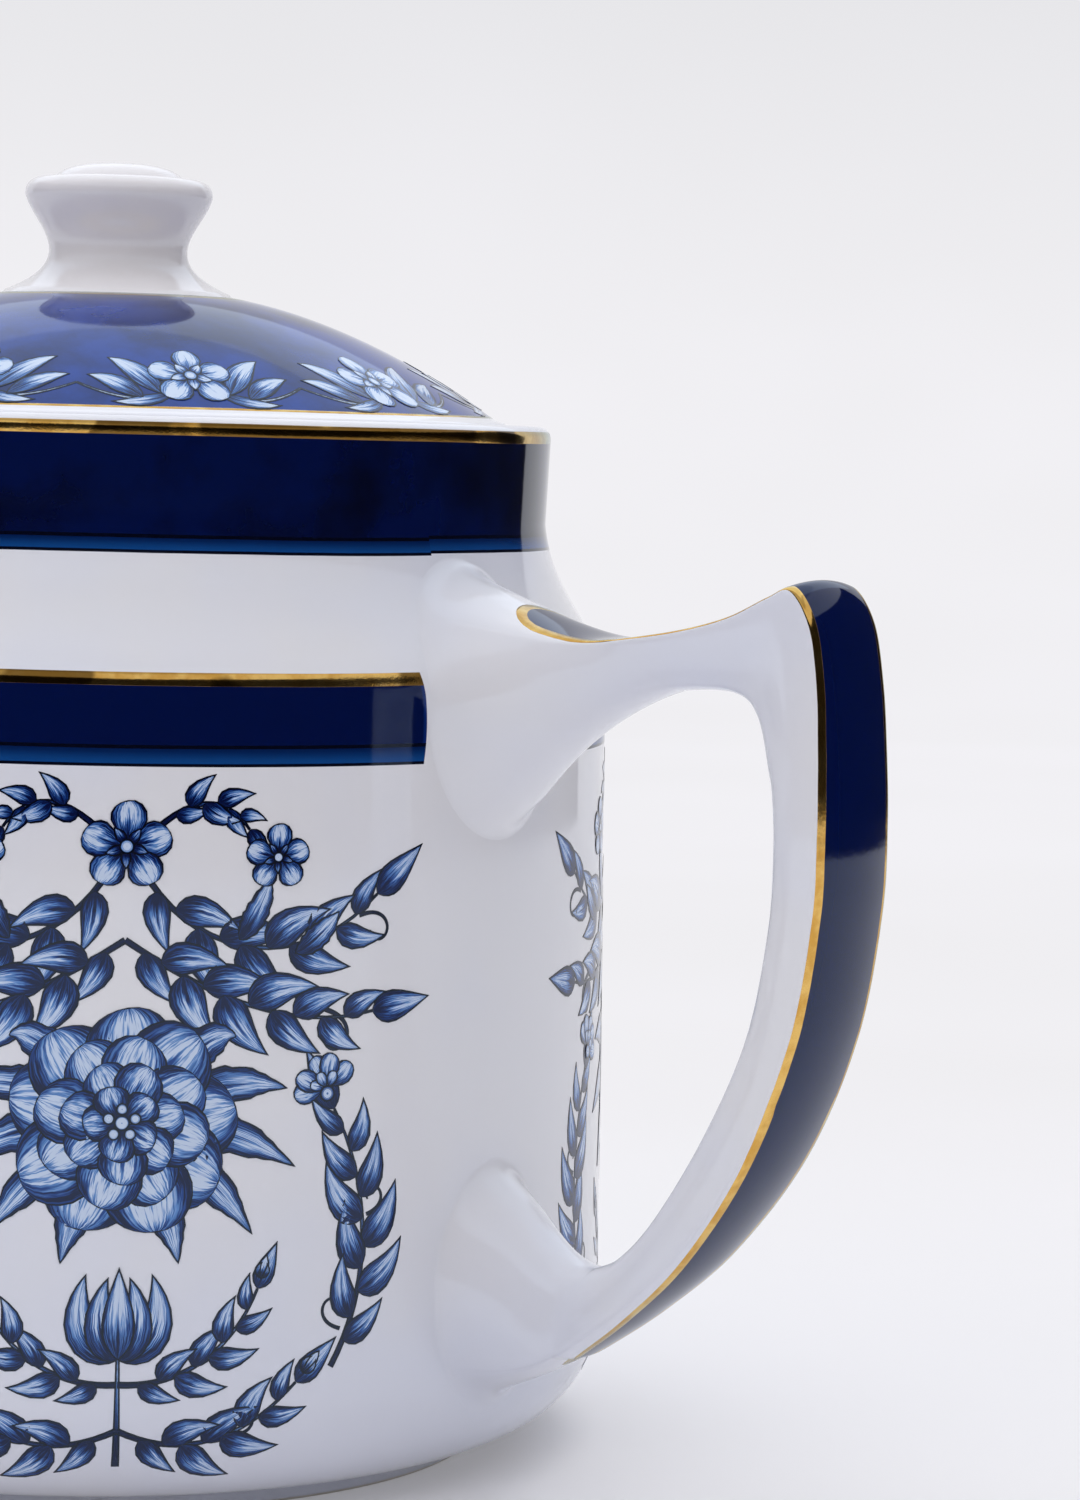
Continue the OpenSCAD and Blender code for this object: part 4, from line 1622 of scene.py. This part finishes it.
@dataclass(frozen=True)
class Transfer:
    """Wraps a flat print sheet round a form, several times over."""

    copies: int
    start: float
    wrap_r: float
    edge_r: float = 0.0
    from_above: bool = False
    form_sides: int = 256
    reach: float = 220.0

    def tree(self) -> tuple[Wires, dict[str, str]]:
        """Builds the Geometry Nodes tree.

        Returns:
            The tree's wires and its inputs' identifiers by name.
        """
        kinds = {
            "Form": "Object", "Copies": "Int", "Start": "Float", "Wrap Radius": "Float",
            "Edge Radius": "Float", "Reach": "Float", "From Above": "Bool", "Ink": "Material",
        }
        w, entry, named = geometry_group("lay_transfer", kinds)
        sheet = w.add("GeometryNodeGeometryToInstance", {0: entry["Geometry"]}).outputs[0]
        unit = {"Geometry": sheet, "Amount": entry["Copies"]}
        many = w.add("GeometryNodeDuplicateElements", unit, domain="INSTANCE").outputs
        numbered = w.add(
            "GeometryNodeStoreNamedAttribute",
            {"Geometry": many[0], "Name": "copy", "Value": many["Duplicate Index"]},
            data_type="FLOAT", domain="INSTANCE",
        )
        flat = w.add("GeometryNodeRealizeInstances", {0: numbered.outputs[0]}).outputs[0]
        copy = w.add("GeometryNodeInputNamedAttribute", {"Name": "copy"}, data_type="FLOAT").outputs[0]
        x, y, z = w.axes(w.add("GeometryNodeInputPosition").outputs[0])
        shift = w.times(copy, w.over(2 * math.pi, entry["Copies"]))
        turn = w.plus(w.plus(entry["Start"], shift), w.over(x, entry["Wrap Radius"]))
        outward = w.joined(w.math("COSINE", turn), w.math("SINE", turn))
        beside = w.vector("ADD", w.scaled(outward, entry["Reach"]), w.joined(z=z))
        over = w.scaled(outward, w.minus(entry["Edge Radius"], z))
        over = w.vector("ADD", over, w.scaled(UPWARDS, entry["Reach"]))
        choices = ((beside, over), (w.scaled(outward, -1.0), w.scaled(UPWARDS, -1.0)))
        test = entry["From Above"]
        source, way = (
            w.add("GeometryNodeSwitch", {0: test, 1: no, 2: yes}, input_type="VECTOR").outputs[0]
            for no, yes in choices
        )
        form = w.add("GeometryNodeObjectInfo", {"Object": entry["Form"]}, transform_space="RELATIVE")
        ray = {"Source Position": source, "Ray Direction": way, "Ray Length": 1.0}
        hit = w.add("GeometryNodeRaycast", {"Target Geometry": form.outputs["Geometry"], **ray}).outputs
        laid = w.vector("ADD", hit["Hit Position"], w.scaled(hit["Hit Normal"], y))
        moved = w.add("GeometryNodeSetPosition", {"Geometry": flat, "Position": laid}).outputs[0]
        real = w.add("GeometryNodeRealizeInstances", {0: moved}).outputs[0]
        inked = w.add("GeometryNodeSetMaterial", {"Geometry": real, "Material": entry["Ink"]}).outputs[0]
        w.add("NodeGroupOutput", {0: inked})
        return w, named

    def lay(self, sheet: Piece, form: Piece, ink: Material, shape: Outline) -> None:
        """Lays a sheet on a form and gives it the form's own smooth normals.

        Args:
            sheet: The flat print.
            form: The piece to lay it on.
            ink: Its material.
            shape: The form's outline.
        """
        mesh = run_group(sheet, *self.tree(), {
            "Form": form, "Copies": self.copies, "Start": math.radians(self.start),
            "Wrap Radius": self.wrap_r * MM, "Edge Radius": self.edge_r * MM, "Reach": self.reach * MM,
            "From Above": self.from_above, "Ink": ink,
        })
        places = np.empty(len(mesh.vertices) * 3)
        mesh.vertices.foreach_get("co", places)
        places = places.reshape(-1, 3) / MM
        radius = np.hypot(places[:, 0], places[:, 1])
        # The form has flat facets, so the print is moved out onto the true circle.
        facet = 2 * np.pi / self.form_sides
        off_middle = (np.arctan2(places[:, 1], places[:, 0]) % facet) - facet / 2
        rounder = np.cos(off_middle) / math.cos(facet / 2)
        places[:, :2] *= rounder[:, None]
        mesh.vertices.foreach_set("co", (places * MM).ravel())
        radius *= rounder
        flat = shape.normals_at(np.column_stack([radius, places[:, 2]]))
        normals = np.column_stack([places[:, :2] / radius[:, None] * flat[:, :1], flat[:, 1]])
        mesh.shade_smooth()
        mesh.normals_split_custom_set_from_vertices(normals.tolist())


@dataclass(frozen=True)
class PrintInk:
    """The print's cobalt: dark outlines, engraved shading and pale lights."""

    effects: Effects
    outline_w: float = 0.17
    outline_soft: float = 0.1
    hatch: float = 0.55
    hatch_stretch: Triple = (7.0, 1.3, 37.0)
    dusk: float = 0.52

    def material(self) -> Material:
        """Builds the ink."""
        work = GlazeWork("print_ink", self.effects)
        w = work.w
        across, along, rim, tone, grain = (w.number(name) for name in PRINT_MARKS)
        side = w.math("ABSOLUTE", across)
        marks = zip((across, along, grain), self.hatch_stretch)
        lines = w.joined(*(w.times(mark, stretch) for mark, stretch in marks))
        engraved = w.ramp(w.noise(lines, Grain.ENGRAVING), 0.36, 0.64)
        swell = w.times(w.ramp(along, 0.1, 0.68), w.ramp(along, 0.8, 1.02, 1.0, 0.5))
        crown = w.times(w.ramp(side, 0.15, 1.0, 1.0, 0.0), swell)
        light = w.minus(w.plus(crown, tone), self.dusk)
        light = w.plus(light, w.times(w.minus(engraved, 0.45), self.hatch))
        rib = w.times(w.ramp(side, 0.04, 0.15, 1.0, 0.0), w.ramp(along, 0.6, 0.9, 1.0, 0.0))
        light = w.minus(light, w.times(rib, 0.4), clamp=True)
        colour = Shade.PRINT_DARK.colour
        for low, high, shade in (
            (0.0, 0.3, Shade.PRINT_MID), (0.26, 0.62, Shade.PRINT_LIGHT), (0.58, 0.92, Shade.PRINT_PALE)
        ):
            colour = w.mix(w.ramp(light, low, high), colour, shade.colour)
        wave = w.times(w.noise(work.place, Grain.INK_EDGE), 0.12)
        edge = w.plus(rim, w.minus(0.06, wave))
        line = w.ramp(edge, self.outline_w, self.outline_w + self.outline_soft, 1.0, 0.0)
        return work.finished(w.mix(line, colour, Shade.INK.colour))


@dataclass
class Print(Part):
    """A printed unit that stands several times round a form."""

    transfer: Transfer
    nodes: tuple[str, ...] = ()

    def sheet(self) -> PrintSheet:
        """Draws one unit."""
        raise NotImplementedError

    def build(self, form: Piece, shape: Outline, ink: Material) -> Piece:
        """Draws the unit and lays it round the form."""
        piece = link(self.name, self.sheet().mesh(self.name))
        self.transfer.lay(piece, form, ink, shape)
        return self.finish_piece(piece, ink)


@dataclass
class WallPrint(Print):
    """The bouquet on the wall: a garland, a rose, side sprays and a tulip, four times round."""

    transfer: Transfer = Transfer(copies=4, start=45.0, wrap_r=65.6)
    name: str = "wall_print"
    body: str = "pot"
    slot: str = "porcelain"

    def rose(self, s: PrintSheet, x: float, z: float, size: float) -> None:
        """A full rose with rings of petals."""
        rings = ((9, 1.0, 0.40, 0.44, 5, 8), (8, 0.76, 0.30, 0.50, 7, 30), (7, 0.54, 0.23, 0.42, 9, 12),
                 (5, 0.34, 0.17, 0.36, 11, 40))
        for count, reach, width, tone, layer, start in rings:
            s.fan(x, z, count, size * reach, size * width, layer, tone, start)
        for n in range(5):
            s.bead(*step_from((x, z), math.radians(72 * n + 18), 0.12 * size), 0.055 * size, 13, 0.7)
        s.bead(x, z, 0.07 * size, 13.5, 0.8)

    def blossom(self, s: PrintSheet, x: float, z: float, size: float) -> None:
        """A small five-petalled flower."""
        s.fan(x, z, 5, size, size * 0.42, 8, 0.56, 90)
        s.fan(x, z, 5, size * 0.5, size * 0.13, 10, 0.12, 90 + 36, brush=Brush.LEAF)
        s.bead(x, z, size * 0.17, 12, 0.75)

    def tulip(self, s: PrintSheet, x: float, z: float, size: float) -> None:
        """A tulip that stands on its stem."""
        petals = (
            (((0.5, 0.05), (0.55, 0.6), (0.38, 1.02)), 0.2, 0.5, 5),
            (((0.25, 0.1), (0.3, 0.6), (0.12, 0.98)), 0.19, 0.42, 7),
        )
        for side in (1, -1):
            for places, width, tone, layer in petals:
                spine = [(x, z), *((x + side * a * size, z + b * size) for a, b in places)]
                s.stroke(spine, width * size, Brush.LEAF, tone, layer + 0.4 * side)
        s.stroke([(x, z + rise * size) for rise in (0, 0.3, 0.6, 1.1)], 0.2 * size, Brush.LEAF, 0.6, 9)

    def garland(self, s: PrintSheet, side: int) -> None:
        """Half of the swag over the rose, with its buds and tendrils."""
        s.spray([(1.5, 80.5), (8, 68.5), (22, 67.5), (31.5, 76.5)], 5, (8.4, 1.9), 0, side, 0.36)
        s.spray([(0, 71.5), (7, 67), (18, 60), (31.0, 62.5)], 5, (8.2, 2.0), 2, side, 0.40)
        s.spray([(3.4, 84.5), (8, 88.8), (12, 88.4), (14.6, 84.5)], 3, (4.6, 1.15), 0, side, 0.38)
        for x, z, a, reach in ((13.5, 71.5, 62, 8.5), (20.5, 69.8, 40, 7.5)):
            c, d = math.cos(math.radians(a)), math.sin(math.radians(a))
            bent = ((0.4, 0.2), (0.8, 0.7), (1.0, 1.0))
            spine = [(x, z), *((x + along * reach * c, z + up * reach * d) for along, up in bent)]
            s.stroke(spine, 1.7, Brush.TOOTHED, 0.42, 4, side)
        s.curl((24.5, 63.0), -20, 11, -330, 1, side)
        s.curl((29.0, 74.0), 15, 9, -300, 1, side, 0.28)

    def bud(self, s: PrintSheet, x: float, z: float, size: float, heading: float, side: int) -> None:
        """A closed bud with two sepals."""
        for turn, width, tone, layer in ((0.0, 0.5, 0.6, 5), (0.5, 0.26, 0.24, 6), (-0.5, 0.26, 0.24, 6)):
            reach, aside = size * (2.0 if turn == 0 else 1.35), turn * size
            places = [(0, 0), (0.3 * reach, aside), (0.7 * reach, aside), (reach, 0.3 * aside)]
            s.stroke(headed((x, z), heading, places), width * size, Brush.LEAF, tone, layer, side)

    def side_spray(self, s: PrintSheet, side: int) -> None:
        """The upright spray beside the rose."""
        s.spray([(26.0, 20.0), (32, 30), (31, 42), (26, 51)], 5, (8.0, 1.8), 0, side, 0.38)
        s.fan(side * 25.0, 53.4, 5, 4.4, 1.45, 6, 0.54, 46 if side > 0 else -10, 144)
        s.fan(side * 25.0, 53.4, 3, 2.4, 0.8, 8, 0.62, 70 if side > 0 else 14, 96)
        s.bead(side * 25.0, 52.9, 1.0, 12, 0.5)
        s.curl((27.2, 24.5), 160, 8, -300, 0, side, 0.26)
        s.curl((30.6, 38.0), 20, 7, 300, 0, side, 0.26)

    def sheet(self) -> PrintSheet:
        """Draws one unit of the bouquet."""
        s = PrintSheet()
        self.blossom(s, 0.0, 82.5, 5.4)
        for side in (1, -1):
            self.blossom(s, side * 18.2, 81.2, 4.0)
            self.garland(s, side)
            self.side_spray(s, side)
            # Leaves behind the rose.
            for n, (a, reach) in enumerate(((14, 20.5), (-12, 21.5), (-38, 20.0), (40, 17.5), (-66, 17.0))):
                c, d = math.cos(math.radians(a)), math.sin(math.radians(a))
                bent = ((4, 0), (10, 2.2), (15, 1.6), (reach, -1.2))
                spine = [(along * c, ROSE_Z + along * d + rise) for along, rise in bent]
                s.stroke(spine, 2.7, Brush.TOOTHED, 0.34, 3 + n * 0.4, side)
            # Sprays at the foot, with their buds.
            s.spray([(0, 13.5), (8, 9.5), (15, 12), (21.5, 18.5)], 4, (7.0, 1.6), 0.3, side, 0.38)
            s.spray([(0, 19), (7, 18.5), (13.5, 22.5), (16.5, 30)], 4, (5.8, 1.35), 0.3, side, 0.36)
            s.curl((12.5, 13.2), -25, 8, 310, 0, side, 0.28)
            self.bud(s, 22.3, 19.6, 1.7, 48, side)
            self.bud(s, 16.8, 31.2, 1.5, 74, side)
        s.stroke([(0, 8.8), (0, 13), (0, 18), (0, 24)], 0.5, Brush.STEM, 0.12, 0)
        self.tulip(s, 0.0, 22.0, 10.0)
        self.rose(s, 0.0, ROSE_Z, 13.6)
        return s


@dataclass
class LidPrint(Print):
    """Blossoms that stand round the lid's edge."""

    transfer: Transfer = Transfer(copies=10, start=-35.0, wrap_r=46.0, edge_r=48.9, from_above=True)
    name: str = "lid_print"
    body: str = "lid"
    slot: str = "lid_porcelain"

    def sheet(self) -> PrintSheet:
        """Draws one blossom with its leaves and the vine to the next."""
        s = PrintSheet()
        half = math.pi * self.transfer.wrap_r / self.transfer.copies
        s.fan(0, 5.8, 5, 5.6, 2.2, 6, 0.8, 90)
        s.fan(0, 5.8, 5, 2.9, 0.9, 9, 0.62, 54, brush=Brush.LEAF)
        s.bead(0, 5.8, 1.0, 12, 0.75)
        leaves = (
            (((4.2, 2.2), (5.6, 5.4), (8.0, 8.2), (11.0, 9.4)), 1.8, 0.7, 2),
            (((6.4, 1.4), (8.4, 3.6), (10.6, 5.2), (13.4, 5.6)), 1.5, 0.64, 3),
            (((3.0, 2.2), (5.0, 1.0), (7.6, 0.3), (10.2, 0.6)), 1.0, 0.58, 1),
        )
        for side in (1, -1):
            s.stroke([(1, 4.0), (4.6, 0.2), (8.6, 0.4), (half, 4.0)], 0.45, Brush.STEM, 0.5, 0, side)
            for spine, half_w, tone, layer in leaves:
                s.stroke(spine, half_w, Brush.LEAF, tone, layer, side)
        return s


# ---- Studio ----

POT_MIDDLE_Z = 0.08


def around(azimuth: float, elevation: float, distance: float) -> Triple:
    """A place about the pot's middle, by azimuth and elevation in degrees and distance in metres."""
    a, e = math.radians(azimuth), math.radians(elevation)
    flat = distance * math.cos(e)
    return (flat * math.cos(a), flat * math.sin(a), distance * math.sin(e) + POT_MIDDLE_Z)


@dataclass(frozen=True)
class Lamp:
    """A softbox that faces the pot."""

    name: str
    azimuth: float
    elevation: float
    distance: float
    size: Pair
    power: float
    mirrored: bool = True
    tint: Triple = (1.0, 1.0, 1.0)

    def hang(self) -> None:
        """Adds the lamp."""
        light = bpy.data.lights.new(self.name, "AREA")
        light.shape, light.size, light.size_y = "RECTANGLE", *self.size
        light.energy, light.color = self.power, self.tint
        lamp = bpy.data.objects.new(self.name, light)
        lamp.location = around(self.azimuth, self.elevation, self.distance)
        aim = Vector((0, 0, POT_MIDDLE_Z)) - lamp.location
        lamp.rotation_euler = aim.to_track_quat("-Z", "Y").to_euler()
        lamp.visible_glossy = self.mirrored
        bpy.context.scene.collection.objects.link(lamp)


@dataclass(frozen=True)
class Flag:
    """A dark card bent round the pot, which only reflections see."""

    name: str
    line: tuple[Pair, ...]
    start: float
    end: float
    steps: int = 48

    def stand(self) -> None:
        """Adds the card."""
        turn = np.radians(np.linspace(self.start, self.end, self.steps + 1))
        count = len(turn)
        faces = [
            (low + i, low + i + 1, low + count + i + 1, low + count + i)
            for low in range(0, (len(self.line) - 1) * count, count) for i in range(self.steps)
        ]
        points = turned(self.line, turn).reshape(-1, 3) / MM
        card = link(self.name, build_mesh(self.name, points, faces))
        material, w = new_material(self.name + "_felt")
        tint = w.mix(w.noise(w.place(), Grain.FELT), Shade.FELT.colour, Shade.FELT_PALE.colour)
        w.surface(w.principled(Base_Color=tint, Roughness=0.9, Specular_IOR_Level=0.1))
        card.data.materials.append(material)
        card.visible_camera = card.visible_diffuse = card.visible_shadow = False
        card.visible_transmission = card.visible_volume_scatter = False


@dataclass(frozen=True)
class Studio:
    """A round pale sweep, softboxes, a plain sky and the camera."""

    camera_at: float = 567.3
    camera_h: float = 131.0
    camera_turn: float = 43.0
    pitch: float = 4.12
    yaw: float = 5.73
    roll: float = -1.47
    focal_px: float = 4305.1
    frame_px: float = 1500.0
    sweep_r: float = 2.4
    sweep_bend: float = 1.0
    sweep_h: float = 2.6
    sweep_sides: int = 96
    lit_r: float = -0.1
    lit_run: float = 0.5

    def camera(self) -> None:
        """Sets the camera."""
        pitch, yaw, roll = (math.radians(v) for v in (self.pitch, self.yaw, self.roll))
        ahead = Vector((math.sin(yaw) * math.cos(pitch), math.cos(yaw) * math.cos(pitch), -math.sin(pitch)))
        right = Vector((math.cos(yaw), -math.sin(yaw), 0))
        up = right.cross(ahead)
        c, s = math.cos(roll), math.sin(roll)
        right, up = c * right - s * up, s * right + c * up
        turn = Matrix.Rotation(math.radians(self.camera_turn), 4, "Z")
        stand = Matrix.Translation((0, -self.camera_at * MM, self.camera_h * MM))
        lens = bpy.data.cameras.new("camera")
        lens.sensor_width = 36.0
        lens.lens = self.focal_px * lens.sensor_width / self.frame_px
        lens.clip_start, lens.clip_end = 0.02, 20.0
        camera = bpy.data.objects.new("camera", lens)
        basis = Matrix((right, up, -ahead)).transposed().to_4x4()
        camera.matrix_world = turn @ stand @ basis
        bpy.context.scene.collection.objects.link(camera)
        bpy.context.scene.camera = camera

    def sweep(self) -> None:
        """Builds the floor that curves up into a wall all round."""
        bend = arc((self.sweep_r - self.sweep_bend, self.sweep_bend), self.sweep_bend, -90, 0, 24)
        line = np.vstack([[[0.3, 0.0], [0.8, 0.0]], bend, [[self.sweep_r, self.sweep_h]]])
        count = self.sweep_sides
        points = np.vstack([turned(line, full_turn(count)).reshape(-1, 3), [[0, 0, 0]]]) / MM
        faces = grid_faces(len(line), count) + fan_faces(len(points) - 1, 0, count)
        sweep = link("sweep", build_mesh("sweep", points, faces))
        sweep.data.materials.append(self.paper())

    def paper(self) -> Material:
        """Pale paper that far off shows its own colour, however little light reaches it."""
        material, w = new_material("sweep_paper")
        place = w.place()
        x, y, z = w.axes(place)
        cloud = w.ramp(w.noise(place, Grain.PAPER), 0.3, 0.7)
        tint = w.mix(cloud, Shade.PAPER.colour, Shade.PAPER_COOL.colour)
        tint = w.mix(w.ramp(z, 0.12, 0.62), tint, Shade.PAPER_WALL.colour)
        lit = w.principled(Base_Color=tint, Roughness=0.85, Specular_IOR_Level=0.2)
        plain = w.add("ShaderNodeEmission", {"Color": tint, "Strength": 1.0}).outputs[0]
        rays = w.add("ShaderNodeLightPath").outputs
        seen = w.larger(rays["Is Camera Ray"], rays["Is Glossy Ray"])
        seen = w.larger(seen, rays["Is Transmission Ray"])
        share = w.times(seen, w.ramp(w.off_axis(x, y), self.lit_r, self.lit_r + self.lit_run))
        w.surface(w.add("ShaderNodeMixShader", {0: share, 1: lit, 2: plain}).outputs[0])
        return material

    def sky(self) -> None:
        """Sets a plain pale world."""
        world = bpy.data.worlds.new("studio")
        world.use_nodes = True
        world.node_tree.nodes.clear()
        w = Wires(world.node_tree)
        ground = w.add("ShaderNodeBackground", {"Color": (0.99, 0.98, 0.97, 1), "Strength": 0.5})
        w.add("ShaderNodeOutputWorld", {"Surface": ground.outputs[0]})
        bpy.context.scene.world = world

    def build(self) -> None:
        """Sets up the whole studio."""
        bpy.context.scene.view_settings.view_transform = "Standard"
        self.camera()
        self.sweep()
        self.sky()
        behind = self.camera_turn + 90
        for lamp in (
            Lamp("overhead_box", behind, 64, 1.3, (2.2, 1.9), 7.8, True, (0.68, 0.82, 1.0)),
            Lamp("top_fill", behind, 78, 1.4, (1.4, 1.4), 10.0, False, (1.0, 0.96, 0.91)),
            Lamp("front_fill", behind - 180, 55, 1.5, (1.2, 1.2), 2.4, False, (1.0, 0.95, 0.9)),
            Lamp("left_fill", behind + 115, 40, 1.5, (1.0, 1.0), 2.6, False),
        ):
            lamp.hang()
        Flag("dark_wall", ((1.06, 0.0), (1.06, 0.35), (1.06, 0.7)), behind - 310, behind - 47).stand()
        LOG.info("studio set")


# ---- The whole scene ----


def main() -> None:
    """Builds the teapot and its studio."""
    logging.basicConfig(level=logging.INFO, format="%(name)s: %(message)s")
    Studio().build()
    effects = Effects()
    shell = PotBody(effects)
    body = shell.build()
    wall = Outline(shell.outer_wall())
    Handle(effects, wall).build()
    Spout(effects, wall).build()
    lid = Lid(effects)
    dome = lid.build()
    Knob(effects).build()
    ink = PrintInk(effects).material()
    WallPrint().build(body, wall, ink)
    LidPrint().build(dome, Outline(lid.dome()), ink)


if __name__ == "__main__":
    main()
